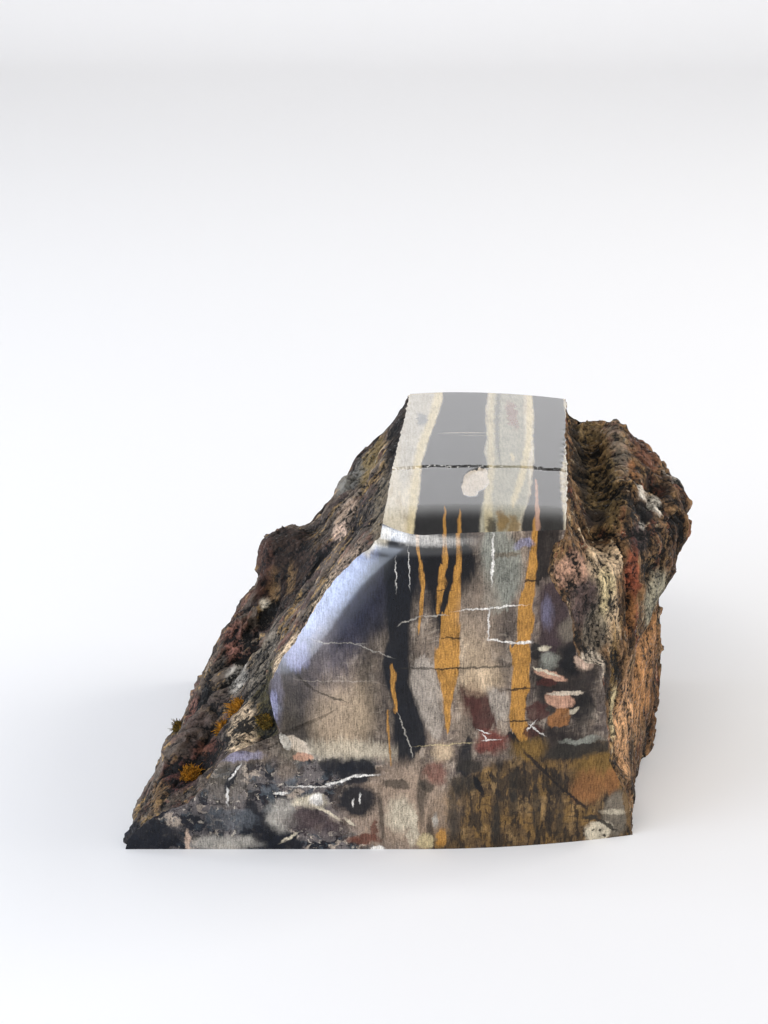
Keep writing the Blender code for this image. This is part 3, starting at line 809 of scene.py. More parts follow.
FRONT_MARKS = (
    ("grain", (27, 78), (6, 10), 0, 0.4, 0.6, "greige"),
    # A painted bluish sheen on the dark right of the front.
    ("grain", (46, 76), (1.4, 4), 0, 0.7, 0.4, "lilac"),
    ("cloud", (47, 61), (2.4, 2.4), 0, 0.4, 0.7, "olive_grey"),
    ("cloud", (53, 70), (4, 3), 0, 0.4, 0.7, "gravel"),
    ("cloud", (58, 44), (3, 6), 0, 0.4, 0.8, "ink"),
    ("cloud", (31, 36), (4.5, 4), 0, 0.4, 0.9, "brick"),
    ("cloud", (44, 45), (3, 3.4), 20, 0.15, 0.85, "maroon"),
    ("cloud", (43.5, 38.5), (3, 2.4), 0, 0.15, 0.85, "maroon"),
    ("vein", (44, 39), (0.25, 3), 50, 0.4, 0.8, "white"),
    ("vein", (42.6, 40.6), (0.2, 2), -40, 0.4, 0.8, "white"),
    ("grain", (25, 50), (3, 6), 0, 0.4, 0.7, "maroon"),
    ("grain", (64, 26), (8, 7), 0, 0.4, 0.8, "old_ochre"),
    ("cloud", (58, 31.5), (11, 2.6), 0, 0.4, 0.9, "cinder"),
    ("cloud", (57, 34.5), (6, 1), 0, 0.4, 0.8, "olive_grey"),
    ("grain", (42, 33), (5, 4), 0, 0.4, 0.8, "old_ochre"),
    ("grain", (60, 19), (5, 6), 0, 0.4, 0.85, "sienna"),
    ("grain", (67, 20), (2.5, 5), 0, 0.4, 0.85, "sienna"),
    ("grain", (38, 18), (1.2, 9), 0, 0.4, 0.7, "cinder"),
    ("grain", (45, 12), (1.4, 8), 0, 0.4, 0.7, "cinder"),
    ("grain", (33, 9), (1.2, 8), 0, 0.4, 0.7, "cinder"),
    ("grain", (52, 8), (1.2, 7), 0, 0.4, 0.6, "cinder"),
    ("vein", (69, 8), (4, 8), 0, 0.2, 0.95, "gravel"),
    ("vein", (68.6, 9), (4, 0.8), -8, 0.5, 0.7, "cream"),
    ("cloud", (63.5, 2.5), (4.2, 3.8), 0, 0.2, 0.95, "cream"),
    ("vein", (62.2, 3.4), (0.4, 0.4), 0, 0.3, 0.9, "umber"),
    ("vein", (64.4, 2.8), (0.4, 0.5), 0, 0.3, 0.9, "umber"),
    ("vein", (65.6, 1.2), (0.5, 0.4), 0, 0.3, 0.9, "umber"),
    ("vein", (66, 5), (5, 0.6), -38, 0.3, 0.9, "cinder"),
    ("vein", (61, 8), (2.5, 0.8), 0, 0.3, 0.9, "cinder"),
    ("vein", (72.5, 9), (1, 8), 12, 0.3, 0.85, "brown"),
    ("vein", (46, 26), (9, 0.55), -50, 0.3, 0.9, "umber"),
    ("vein", (56, 15), (6, 0.5), -46, 0.3, 0.9, "umber"),
    ("vein", (41.4, 86), (2.2, 0.35), 0, 0.4, 0.85, "umber"),
    ("vein", (38.8, 52.6), (4, 0.35), 0, 0.4, 0.85, "umber"),
    ("vein", (39, 42.4), (4, 0.35), 0, 0.4, 0.85, "umber"),
    ("vein", (18, 59.8), (5, 0.3), 0, 0.4, 0.85, "umber"),
    ("vein", (19, 69.3), (3, 0.3), 0, 0.4, 0.8, "umber"),
    ("vein", (16.5, 84), (3, 0.25), 0, 0.4, 0.8, "umber"),
    ("grain", (4, 14), (16, 14), 0, 0.35, 0.75, "beige"),
    ("grain", (-1, 12), (0.8, 9), 3, 0.5, 0.7, "cinder"),
    ("grain", (11, 17), (1.2, 8), 0, 0.5, 0.7, "cinder"),
    ("grain", (14, 5), (1, 6), 6, 0.5, 0.7, "umber"),
    ("grain", (20, 13), (1.4, 8), 0, 0.5, 0.7, "cinder"),
    ("cloud", (4, 22), (4, 1.6), 0, 0.3, 0.7, "cinder"),
    ("cloud", (12, 3), (2.2, 3), 0, 0.25, 0.8, "yellow_cream"),
    ("cloud", (5, 12), (4, 6), 0, 0.4, 0.8, "cream"),
    ("cloud", (8.5, 8), (1.5, 7), 0, 0.4, 0.8, "cream"),
    ("vein", (15, 10), (0.8, 2.5), 0, 0.4, 0.8, "cloud"),
    ("cloud", (-6, 3.5), (4.5, 1.6), 0, 0.3, 0.9, "rust"),
    ("cloud", (-3, 7), (0.8, 3.5), 0, 0.3, 0.8, "rust"),
    ("vein", (-2, 0.5), (2, 0.7), 0, 0.3, 0.9, "white"),
    ("cloud", (17, 4), (1.6, 2.6), 0, 0.3, 0.8, "ochre"),
    ("cloud", (15, 26.5), (3.5, 3.5), 0, 0.4, 0.8, "clay"),
    ("cloud", (24, 22), (5, 3), 0, 0.4, 0.8, "cinder"),
    ("cloud", (12, 22), (1.5, 2), 0, 0.4, 0.7, "cinder"),
    ("cloud", (25, 28), (3, 2), 0, 0.4, 0.8, "cinder"),
    ("vein", (27.6, 21.5), (1, 4), 22, 0.2, 0.95, "ink"),
    ("cloud", (-8, 27), (6, 4.5), 0, 0.25, 0.95, "navy"),
    ("cloud", (-14, 28), (5, 2.5), 0, 0.3, 0.9, "navy"),
    ("cloud", (-8, 17), (6, 5.5), 0, 0.25, 0.95, "navy"),
    ("cloud", (-36, 5), (7, 8), 0, 0.25, 0.95, "navy"),
    ("cloud", (-30, 2), (6, 4), 0, 0.25, 0.95, "navy"),
    ("cloud", (-39, 12), (3, 5), 0, 0.3, 0.9, "navy"),
    ("cloud", (-70, 4.5), (11, 6), 0, 0.25, 0.95, "navy"),
    ("cloud", (-30, 12), (4.5, 5.5), 0, 0.4, 0.8, "cloud"),
    ("cloud", (-22, 16.5), (5, 2.2), 0, 0.3, 0.9, "cream"),
    ("cloud", (-20, 17), (2, 1.5), 0, 0.3, 0.9, "white"),
    ("cloud", (-22, 11), (6.5, 4), 15, 0.6, 0.9, "plum"),
    ("cloud", (-16, 8), (5, 3), 0, 0.6, 0.8, "plum"),
    ("cloud", (-45, 10), (8, 4), 0, 0.2, 0.6, "smoke"),
    ("cloud", (-53, 9), (6, 6), 0, 0.5, 0.6, "navy"),
    ("cloud", (-47, 2), (10, 2.6), 0, 0.35, 0.8, "cloud"),
    ("vein", (-58, 3), (0.8, 3.5), 0, 0.3, 0.8, "blush"),
    ("cloud", (-46, 24), (7, 8), 0, 0.5, 0.4, "gravel"),
    # A lilac strip along the top edge of the lower-left lobe: painted sheen.
    ("cloud", (-42, 31.5), (6, 1.6), 0, 0.35, 0.55, "lilac"),
    ("vein", (-44.5, 24), (1, 5), -25, 0.3, 0.9, "navy"),
    ("vein", (-43.2, 26.5), (0.35, 3), -35, 0.4, 0.9, "white"),
    ("vein", (-45.8, 18), (0.4, 3), 0, 0.4, 0.9, "white"),
    ("cloud", (-35, 21), (1.5, 1.2), 0, 0.4, 0.8, "smoke"),
    ("cloud", (-32, 22), (1.2, 1.2), 0, 0.4, 0.8, "smoke"),
    ("cloud", (-27, 24), (1.6, 1.4), 0, 0.4, 0.8, "smoke"),
    ("cloud", (-28, 27), (3.4, 2), 20, 0.6, 0.6, "greige"),
    ("vein", (-11.5, 23.8), (4.5, 0.45), 22, 0.4, 0.95, "white"),
    ("vein", (-5, 25.3), (3, 0.35), 8, 0.4, 0.95, "white"),
    ("vein", (-15.8, 22.3), (1.4, 0.5), 0, 0.4, 0.9, "white"),
    ("vein", (-30, 19.4), (2, 0.5), 0, 0.4, 0.9, "white"),
    ("vein", (-22, 21.5), (6, 0.25), 0, 0.4, 0.8, "white"),
    ("vein", (-17, 13), (5, 0.5), -35, 0.4, 0.9, "cream"),
    ("vein", (-10, 9.5), (2, 0.4), -40, 0.4, 0.9, "cream"),
    ("vein", (-7, 17.5), (0.3, 1.8), 0, 0.4, 0.9, "white"),
    ("vein", (-9, 16), (0.3, 1.4), 0, 0.4, 0.9, "white"),
    ("vein", (-28, 4), (3, 0.5), 35, 0.4, 0.9, "cream"),
    ("vein", (29.6, 73.5), (0.25, 4.8), 0, 0.4, 0.9, "white"),
    ("vein", (33, 68), (3.6, 0.3), -8, 0.4, 0.9, "white"),
    ("vein", (39, 67.2), (3, 0.45), 0, 0.4, 0.95, "white"),
    ("vein", (43.2, 64), (1.6, 3), 0, 0.3, 0.9, "ink"),
    ("vein", (45.5, 65), (1.6, 1), 0, 0.3, 0.9, "cream"),
    ("vein", (7, 74.8), (3.4, 0.22), 22, 0.4, 0.8, "cloud"),
    ("vein", (14, 76.3), (4, 0.2), 3, 0.4, 0.7, "cloud"),
    ("vein", (30, 78.3), (9, 0.25), 4, 0.4, 0.8, "white"),
    ("vein", (-13, 67.8), (7, 0.2), 0, 0.4, 0.6, "cloud"),
    ("vein", (-3, 65.6), (5.5, 0.2), -22, 0.4, 0.6, "cloud"),
    ("vein", (-23, 56), (5, 0.35), -40, 0.4, 0.8, "cinder"),
    ("vein", (-15, 51), (5, 0.3), -22, 0.4, 0.7, "cinder"),
    ("vein", (-14, 56), (10, 0.2), 0, 0.4, 0.5, "pale"),
    ("vein", (-25, 35), (2, 4.5), 50, 0.15, 0.95, "flake"),
    ("vein", (-23.5, 31.2), (3, 1.3), 0, 0.15, 0.95, "pinkish"),
    ("vein", (-28.5, 36.5), (1.2, 3), 25, 0.15, 0.95, "chalk"),
    ("grain", (-31, 50), (2, 9), 0, 0.4, 0.85, "purple_grey"),
    ("grain", (-32, 47), (1.2, 4), 0, 0.4, 0.7, "lilac"),
    ("grain", (-25, 63), (4, 3), 50, 0.4, 0.7, "lilac"),
    ("vein", (47.5, 56.3), (5.2, 1.5), -24, 0.12, 0.95, "pinkish"),
    ("vein", (46.4, 57.6), (4.2, 0.5), -24, 0.2, 0.95, "cream"),
    ("vein", (46.6, 54), (3, 1.2), -10, 0.2, 0.95, "maroon"),
    ("vein", (50.6, 48.2), (4.6, 2.4), -22, 0.12, 0.95, "pinkish"),
    ("vein", (52.2, 50), (5.4, 0.9), -3, 0.15, 0.95, "flake"),
    ("vein", (54, 44), (2.6, 0.7), 30, 0.3, 0.8, "cream"),
    ("cloud", (50.5, 43), (3.6, 2.6), 30, 0.15, 0.9, "sienna"),
    ("cloud", (53.5, 61), (3.5, 5), 0, 0.3, 0.9, "ink"),
    ("cloud", (57.5, 62), (3, 4), 0, 0.3, 0.9, "blush"),
    # A white strip along the top ridge and a cream patch at its left corner: painted highlight over the
    # ridge's own pale cream.
    ("vein", (9, 98.8), (13, 1.5), -3, 0.5, 0.6, "white"),
    ("cloud", (-3, 96.5), (5, 2.4), 30, 0.4, 0.8, "cream"),
    ("vein", (30.3, 93), (0.35, 7), 0, 0.4, 0.95, "white"),
    ("vein", (3.3, 88.5), (0.16, 4.5), 0, 0.4, 0.7, "white"),
    ("vein", (7, 90.5), (0.16, 5.5), 3, 0.4, 0.7, "white"),
    ("vein", (5.3, 42), (0.16, 4.5), 18, 0.4, 0.8, "cloud"),
    ("vein", (7.4, 35), (0.16, 3.5), 14, 0.4, 0.8, "cloud"),
    ("cloud", (28, 56), (6, 4), 0, 0.4, 0.6, "sand"),
    ("vein", (17, 33), (3, 3), 0, 0.4, 0.7, "sand"),
    ("vein", (9, 60), (4.5, 0.35), 0, 0.5, 0.7, "cinder"),
    ("vein", (28, 60), (8, 0.35), 2, 0.5, 0.7, "cinder"),
    ("vein", (18, 35.5), (8, 0.2), 3, 0.4, 0.7, "yellow_cream"),
    ("vein", (28.5, 39.5), (2, 0.2), -20, 0.4, 0.8, "white"),
    ("vein", (31, 36.6), (2.6, 0.2), 0, 0.4, 0.8, "white"),
    ("vein", (29, 37.6), (0.2, 1.2), 25, 0.4, 0.8, "white"),
    # A painted bluish glint on the top ridge.
    ("cloud", (39, 97), (3, 1.2), 0, 0.4, 0.6, "lilac"),
    ("cloud", (35, 94), (4, 1), 0, 0.4, 0.6, "cocoa"),
)

BAND_PATCHES = (
    (4.0, (1.0, 0.15, 1.0), (0.45, 0.65), 0.5, "a8926f"),
    (1.5, (1.0, 0.08, 1.0), (0.5, 0.65), 0.4, "d8ceb8"),
)

# Stripes along the polished band, as on the front but with y in place of z, and its marks.
BAND_STRIPES = (
    (1.2, 0.6, "cloud", (
        (20, 5, -2), (40, 6, 1.5), (60, 7, 2.5), (80, 8.5, 3.5), (100, 11, 4), (120, 13, 4))),
    (0.8, 0.8, "yellow_cream", (
        (-5, 7, 1.2), (20, 8.2, 1.2), (45, 9.8, 1.2), (60, 11, 1.3), (75, 13, 1.3), (90, 15, 1.4),
        (120, 18.5, 1.4))),
    (0.5, 0.97, "slate", (
        (-5, 17.5, 9.5), (5, 17.6, 9.4), (20, 19, 9.5), (45, 21, 10), (60, 21.6, 9), (75, 23.2, 8.8),
        (90, 24.5, 8), (110, 26.5, 7.5), (120, 27, 7.5))),
    (0.8, 0.9, "reed", (
        (-5, 31, 4.5), (5, 32, 5), (20, 34.5, 6.3), (45, 36.8, 6.2), (60, 37, 6), (75, 38, 6),
        (90, 38.8, 5.8), (120, 41, 5.5))),
    (0.6, 0.6, "yellow_cream", (
        (-5, 29, 1), (20, 29.6, 1.1), (45, 31.6, 0.9), (70, 33, 0.9), (120, 36, 0.8))),
    (0.5, 0.55, "slate", ((30, 35, -1), (60, 34.8, 0.5), (90, 36, 0.6), (120, 38, 0.6))),
    (0.6, 0.85, "yellow_cream", (
        (12, 36, -1), (20, 37, 0.7), (34, 39.5, 0.9), (60, 43.4, 1.0), (75, 45.2, 1.0), (90, 46.4, 1.0),
        (120, 48.6, 1.0))),
    (0.5, 0.95, "slate", (
        (-5, 43.8, 5.6), (5, 44.2, 6), (20, 46, 5), (45, 48.3, 4), (60, 50.3, 4.6), (75, 51.5, 5),
        (90, 52.8, 5), (120, 54.4, 5.4))),
    (0.3, 0.85, "pinkish", (
        (-5, 42, 0.7), (6, 42.6, 0.7), (20, 43.6, 0.5), (36, 44.6, 0.4), (42, 44.8, -1))),
    (0.25, 0.9, "ochre", ((-5, 16.8, 0.5), (8, 17, 0.35), (16, 17.2, 0.1), (20, 17.3, -1))),
    (0.25, 0.9, "ochre", ((-5, 20.6, 0.6), (6, 21.2, 0.4), (12, 21.5, 0.2), (18, 22, -1))),
    (0.25, 0.9, "ochre", ((-5, 42.2, 0.6), (6, 41.9, 0.4), (10, 42.2, 0.2), (14, 42.4, -1))),
    (0.15, 0.97, "flake", (
        (23.3, 25.2, -1), (24, 25.2, 1.6), (27, 25, 2.2), (30, 26, 3.4), (33, 26.6, 3.8), (38, 27, 3.4),
        (42, 27.5, 2.9), (45, 28.4, 1.6), (47, 28.6, -1))),
)
BAND_MARKS = (
    ("cloud", (12, 91), (1.5, 6), 0, 0.4, 0.7, "smoke"),
    ("cloud", (41, 95), (1.6, 13), 0, 0.4, 0.75, "clay"),
    ("vein", (38.8, 56), (0.6, 3.5), 0, 0.4, 0.7, "yellow_cream"),
    ("vein", (25, 77), (8, 0.35), 0, 0.4, 0.6, "flake"),
    ("vein", (28, 74.5), (5, 0.2), 0, 0.4, 0.4, "cream"),
    ("cloud", (33, 9), (1.6, 5), 0, 0.4, 0.8, "old_ochre"),
    ("cloud", (30, 5), (1.4, 5), 0, 0.4, 0.8, "umber"),
    ("cloud", (36, 6), (1.4, 5), 0, 0.4, 0.7, "old_ochre"),
    ("vein", (18, 19), (1, 0.7), 0, 0.4, 0.7, "umber"),
)

# The front is one polished face, but its marks are too many for one shader. It is cut into these zones, each
# (name, low corner, high corner) in x and z, and each zone's shader draws only the marks that come near it.
# How far each view can move a mark is given in x and z.
FRONT_ZONES = (
    ("upper_left", (-99, 56), (13, 120)),
    ("upper_right", (13, 56), (99, 120)),
    ("middle_left", (-99, 28), (13, 56)),
    ("middle_right", (13, 28), (99, 56)),
    ("lower_left", (-99, -9), (-3, 28)),
    ("lower_right", (-3, -9), (99, 28)),
)
VIEW_DRIFT = {"grain": (2.4, 6.5), "cloud": (5.0, 4.4), "vein": (1.6, 1.6)}


def marks_near(marks, low, high):
    """The marks that can show in a zone between these corners."""
    near = []
    for mark in marks:
        view, centre, reach, turn, edge = mark[:5]
        c, s = math.cos(math.radians(turn)), math.sin(math.radians(turn))
        half = (math.hypot(reach[0] * c, reach[1] * s), math.hypot(reach[0] * s, reach[1] * c))
        margins = [h * (1.0 + edge) + drift for h, drift in zip(half, VIEW_DRIFT[view])]
        sides = zip(low, high, margins, centre)
        if all(start - margin < middle < end + margin for start, end, margin, middle in sides):
            near.append(mark)
    return near


def stripes_near(stripes, low, high):
    """The stripes that can show in a zone between these corners."""
    near = []
    for stripe in stripes:
        up, middle, half = np.array(stripe[3], float).T
        across, along = VIEW_DRIFT["grain"]
        left, right = (middle - half).min() - across, (middle + half).max() + across
        if left < high[0] and right > low[0] and up[0] - along < high[1] and up[-1] + along > low[1]:
            near.append(stripe)
    return near


def fill(tree, target, inputs):
    """Links or sets these inputs of a node."""
    for key, value in inputs.items():
        if isinstance(value, bpy.types.NodeSocket):
            tree.links.new(value, target.inputs[key])
        else:
            target.inputs[key].default_value = value


def node(tree, kind, inputs=(), **settings):
    """Adds a node of this kind with these settings, and links or sets its inputs."""
    added = tree.nodes.new("ShaderNode" + kind)
    for name, value in settings.items():
        setattr(added, name, value)
    fill(tree, added, dict(inputs))
    return added


def new_material(name):
    """A material of this name, with its node tree and shader."""
    material = bpy.data.materials.new(name)
    material.use_nodes = True
    return material, material.node_tree, material.node_tree.nodes["Principled BSDF"]


# Noise seldom goes further than a third from its middle, so this many times it reaches about 1.
NOISE_REACH = 3.0


def stone_place(tree):
    """The place on the stone in millimetres, from the middle of the front's lower edge."""
    coordinates = node(tree, "TexCoord")
    to_millimetres = {
        "Vector": coordinates.outputs["Object"],
        "Location": (FOOTPRINT_MIDDLE_X, FOOTPRINT_MIDDLE_Y, 0.0),
        "Scale": (1.0 / MILLIMETRE, 1.0 / MILLIMETRE, 1.0 / MILLIMETRE),
    }
    return node(tree, "Mapping", to_millimetres).outputs[0]


def flattened(tree, place, up):
    """The place as seen from the front (up is 2) or from above (up is 1): across, up and no depth."""
    parts = node(tree, "SeparateXYZ", {0: place})
    return node(tree, "CombineXYZ", {0: parts.outputs[0], 1: parts.outputs[up]}).outputs[0]


def drawn_noise(tree, place, size, stretch, detail, roughness):
    """Noise of this size in millimetres, drawn out along the axes whose stretch is under 1."""
    drawn_out = node(tree, "Mapping", {"Vector": place, "Scale": stretch}).outputs[0]
    pattern = {"Vector": drawn_out, "Scale": 1.0 / size, "Detail": detail, "Roughness": roughness}
    return node(tree, "TexNoise", pattern).outputs


def wandering(tree, place, size, stretch, amount, detail):
    """The place, moved about by up to roughly this amount in millimetres by noise of this size."""
    drift = drawn_noise(tree, place, size, stretch, detail, 0.6)["Color"]
    shift = node(tree, "VectorMath", {0: drift, 1: (0.5, 0.5, 0.5)}, operation="SUBTRACT").outputs[0]
    reach = tuple(NOISE_REACH * a for a in amount)
    scaled = node(tree, "VectorMath", {0: shift, 1: reach}, operation="MULTIPLY").outputs[0]
    return node(tree, "VectorMath", {0: place, 1: scaled}, operation="ADD").outputs[0]


def oval(tree, place, middle, reach, turn, edge, strength=1.0):
    """How far a place lies inside a soft-edged oval, from 0 to this strength."""
    own = {"Vector": place, "Location": (*middle, 0.0)[:3], "Rotation": (0.0, 0.0, math.radians(turn)),
           "Scale": (*reach, 1.0)[:3]}
    local = node(tree, "Mapping", own, vector_type="TEXTURE")
    away = node(tree, "VectorMath", {0: local.outputs[0]}, operation="LENGTH")
    cover = {"Value": away.outputs["Value"], "From Min": 1.0 + edge, "From Max": 1.0 - edge,
             "To Max": strength}
    return node(tree, "MapRange", cover, interpolation_type="SMOOTHSTEP").outputs[0]


def paint(tree, ground, views, marks, colours):
    """Lays marks over a ground colour."""
    for view, centre, reach, turn, edge, strength, colour in marks:
        share = oval(tree, views[view], centre, reach, turn, edge, strength)
        layers = {0: share, 6: ground, 7: colours[colour]}
        ground = node(tree, "Mix", layers, data_type="RGBA").outputs[2]
    return ground


# A stripe's curves hold its middle and half width as shares of these spans, each (lowest, whole span) in mm.
MIDDLE_SPAN = (-10.0, 80.0)
WIDTH_SPAN = (-2.0, 14.0)


def striped(tree, ground, view, stripes, colours):
    """Lays stripes over a ground colour, each along its own wandering middle line."""
    parts = node(tree, "SeparateXYZ", {0: view}).outputs
    for soft, strength, colour, shape in stripes:
        up, middle, half = np.array(shape, float).T
        run = node(tree, "MapRange", {"Value": parts[1], "From Min": up[0], "From Max": up[-1]}).outputs[0]
        curves = node(tree, "RGBCurve", {"Color": node(tree, "CombineColor", {0: run, 1: run}).outputs[0]})
        for number, values, (lowest, span) in ((0, middle, MIDDLE_SPAN), (1, half, WIDTH_SPAN)):
            points = curves.mapping.curves[number].points
            for _ in range(len(up) - 2):
                points.new(0.5, 0.5)
            for point, place, value in zip(points, (up - up[0]) / (up[-1] - up[0]), (values - lowest) / span):
                point.location = (place, value)
                point.handle_type = "AUTO_CLAMPED"
        curves.mapping.update()
        drawn = node(tree, "SeparateColor", {0: curves.outputs[0]}).outputs
        line, width = [
            node(tree, "Math", {0: share, 1: span, 2: lowest}, operation="MULTIPLY_ADD")
            for share, (lowest, span) in zip(drawn, (MIDDLE_SPAN, WIDTH_SPAN))
        ]
        away = node(tree, "Math", {0: parts[0], 1: line.outputs[0]}, operation="SUBTRACT")
        off = node(tree, "Math", {0: away.outputs[0]}, operation="ABSOLUTE")
        gap = node(tree, "Math", {0: off.outputs[0], 1: width.outputs[0]}, operation="SUBTRACT")
        cover = {"Value": gap.outputs[0], "From Min": soft, "From Max": -soft, "To Max": strength}
        share = node(tree, "MapRange", cover, interpolation_type="SMOOTHSTEP").outputs[0]
        layers = {0: share, 6: ground, 7: colours[colour]}
        ground = node(tree, "Mix", layers, data_type="RGBA").outputs[2]
    return ground


def patched(tree, ground, place, rows):
    """A ground colour with noise-shaped patches of other colours laid over it."""
    for size, stretch, span, strength, colour in rows:
        pattern = drawn_noise(tree, place, size, stretch, 3.0, 0.62)["Fac"]
        cover = {"Value": pattern, "From Min": span[0], "From Max": span[1], "To Max": strength}
        share = node(tree, "MapRange", cover, interpolation_type="SMOOTHSTEP")
        layers = {0: share.outputs[0], 6: ground, 7: (*linear(colour), 1.0)}
        ground = node(tree, "Mix", layers, data_type="RGBA").outputs[2]
    return ground


def laid_within(tree, ground, over, place, outlines):
    """The ground with another painting laid over it inside these outlines."""
    for middle, reach, edge in outlines:
        layers = {0: oval(tree, place, middle, reach, 0.0, edge), 6: ground, 7: over}
        ground = node(tree, "Mix", layers, data_type="RGBA").outputs[2]
    return ground


def added_up(tree, layers, rise=0.0):
    """Patterns added up, each layer (pattern, share)."""
    for pattern, share in layers:
        sums = {0: pattern, 1: share, 2: rise}
        rise = node(tree, "Math", sums, operation="MULTIPLY_ADD").outputs[0]
    return rise


def shaded(tree, painting, rise, span, contrast):
    """The painting darkened and lightened by a pattern, from the one end of its span to the other."""
    levels = {"Value": rise, "From Min": span[0], "From Max": span[1], "To Min": contrast[0],
              "To Max": contrast[1]}
    shade = node(tree, "MapRange", levels).outputs[0]
    tone = node(tree, "CombineColor", {0: shade, 1: shade, 2: shade}).outputs[0]
    layers = {0: 1.0, 6: painting, 7: tone}
    return node(tree, "Mix", layers, data_type="RGBA", blend_type="MULTIPLY").outputs[2]


# The pattern that shades the polished faces: mottles, upright fibres and specks, each (size, or None for the
# fibres' own width, stretch, detail, share), and the span of their sum.
POLISHED_GRAIN = (
    (5.0, (1.0, 0.6, 1.0), 4.0, 0.8),
    (None, (1.0, 0.14, 1.0), 3.0, 1.1),
    (None, (0.8, 0.8, 1.0), 2.0, 0.7),
)
POLISHED_SPAN = (0.95, 1.65)


def grained(tree, painting, place, width, contrast):
    """The painting shaded by mottles, fine upright fibres of this width and specks, and what shades it."""
    layers = [
        (drawn_noise(tree, place, size or width, stretch, detail, 0.65)["Fac"], share)
        for size, stretch, detail, share in POLISHED_GRAIN
    ]
    rise = added_up(tree, layers)
    return shaded(tree, painting, rise, POLISHED_SPAN, contrast), rise


def stone_colours(look):
    """The palette as shader colours, with the user's own ground, ochre and ink."""
    colours = {name: (*linear(value), 1.0) for name, value in PALETTE.items()}
    colours["greige"] = (*look.ground_colour, 1.0)
    colours["ochre"] = (*look.ochre_colour, 1.0)
    colours["ink"] = (*look.dark_colour, 1.0)
    return colours


# Where the polish of the front is brightest, along its rounded left edge and its top ridge: (middle, reach,
# turn, edge) in x and z.
BRIGHT_EDGES = (((-13.0, 82.0), (26.0, 6.5), 54.0, 0.5), ((10.0, 98.0), (20.0, 3.5), 0.0, 0.3))
SILICA_IOR = 1.54

# The polished faces' fibres, (width, contrast). The wood's own are under 0.1 mm: these are drawn coarser, as
# wide as the finest that the photograph shows.
FRONT_FIBRES = (0.4, (0.25, 1.6))
BAND_FIBRES = (0.6, (0.65, 1.35))

# How the views of the polished faces wander, each from an earlier one: (that one, size, stretch, amount,
# detail).
FRONT_VIEWS = {
    "slow": ("flat", 9.0, (1.0, 0.35, 1.0), (0.8, 2.0, 0.0), 2.0),
    "broken": ("flat", 1.3, EVEN, (0.5, 0.5, 0.0), 4.0),
    "grain": ("slow", 0.9, (1.0, 0.18, 1.0), (0.6, 2.4, 0.0), 4.0),
    "cloud": ("broken", 6.0, EVEN, (2.6, 2.2, 0.0), 5.0),
    "vein": ("broken", 2.4, EVEN, (0.5, 0.5, 0.0), 3.0),
}
BAND_VIEWS = {
    "slow": ("flat", 14.0, (1.0, 0.2, 1.0), (0.6, 1.0, 0.0), 2.0),
    "band": ("slow", 1.6, (1.0, 0.3, 1.0), (0.5, 1.4, 0.0), 4.0),
    "cloud": ("flat", 5.0, EVEN, (2.0, 2.0, 0.0), 4.0),
    "vein": ("flat", 2.6, EVEN, (0.5, 0.5, 0.0), 3.0),
}


def wandering_views(tree, flat, rows):
    """The flat view of a face and the views made from it."""
    views = {"flat": flat}
    for name, (origin, *way) in rows.items():
        views[name] = wandering(tree, views[origin], *way)
    return views


def front_material(look, zone, low, high):
    """Silicified wood, sawn and polished: a glassy face with upright fibres of the old wood in greige, cloudy
    agate below, and rust-coloured fillings in the cracks."""
    material, tree, shader = new_material("petrified_wood_polished_front_" + zone)
    colours = stone_colours(look)
    flat = flattened(tree, stone_place(tree), 2)
    views = wandering_views(tree, flat, FRONT_VIEWS)
    ground = patched(tree, (*look.ground_colour, 1.0), views["slow"], WOOD_PATCHES)
    agate = patched(tree, (*linear(AGATE_GROUND), 1.0), views["cloud"], AGATE_PATCHES)
    bark = patched(tree, (*linear(BARK_GROUND), 1.0), views["slow"], BARK_PATCHES)
    ground = laid_within(tree, ground, bark, views["cloud"], BARK_OUTLINES)
    ground = laid_within(tree, ground, agate, views["cloud"], AGATE_OUTLINES)
    ground = paint(tree, ground, views, marks_near(FRONT_SHADES, low, high), colours)
    ground = striped(tree, ground, views["grain"], stripes_near(FRONT_STRIPES, low, high), colours)
    painted = paint(tree, ground, views, marks_near(FRONT_MARKS, low, high), colours)
    colour, fibre = grained(tree, painted, flat, *FRONT_FIBRES)
    glossy = (0.0, 0.0, 0.0, 1.0)
    for middle, reach, turn, edge in BRIGHT_EDGES:
        share = oval(tree, flat, middle, reach, turn, edge)
        layers = {0: share, 6: glossy, 7: (1.0, 1.0, 1.0, 1.0)}
        glossy = node(tree, "Mix", layers, data_type="RGBA").outputs[2]
    bump = node(tree, "Bump", {"Height": fibre, "Strength": 0.3, "Distance": 0.02 * MILLIMETRE})
    fill(tree, shader, {
        "Base Color": colour,
        "Roughness": look.polish,
        "IOR": SILICA_IOR,
        "Specular IOR Level": 0.2,
        "Coat Weight": glossy,
        "Coat Roughness": 0.28,
        "Coat IOR": 1.7,
        "Normal": bump.outputs[0],
    })
    return material


def band_material(look):
    """The same silicified wood, sawn across the top and polished: stripes of cream, near black and grey-green
    that run back along the old trunk, with thin rust-coloured lines."""
    material, tree, shader = new_material("petrified_wood_polished_band")
    colours = stone_colours(look)
    flat = flattened(tree, stone_place(tree), 1)
    views = wandering_views(tree, flat, BAND_VIEWS)
    ground = patched(tree, colours["cream"], views["slow"], BAND_PATCHES)
    ground = striped(tree, ground, views["band"], BAND_STRIPES, colours)
    painted = paint(tree, ground, views, BAND_MARKS, colours)
    colour, fibre = grained(tree, painted, flat, *BAND_FIBRES)
    bump = node(tree, "Bump", {"Height": fibre, "Strength": 0.3, "Distance": 0.03 * MILLIMETRE})
    fill(tree, shader, {
        "Base Color": colour,
        "Roughness": look.polish,
        "IOR": SILICA_IOR,
        "Coat Weight": 1.0,
        "Coat Roughness": look.polish,
        "Normal": bump.outputs[0],
    })
    return material


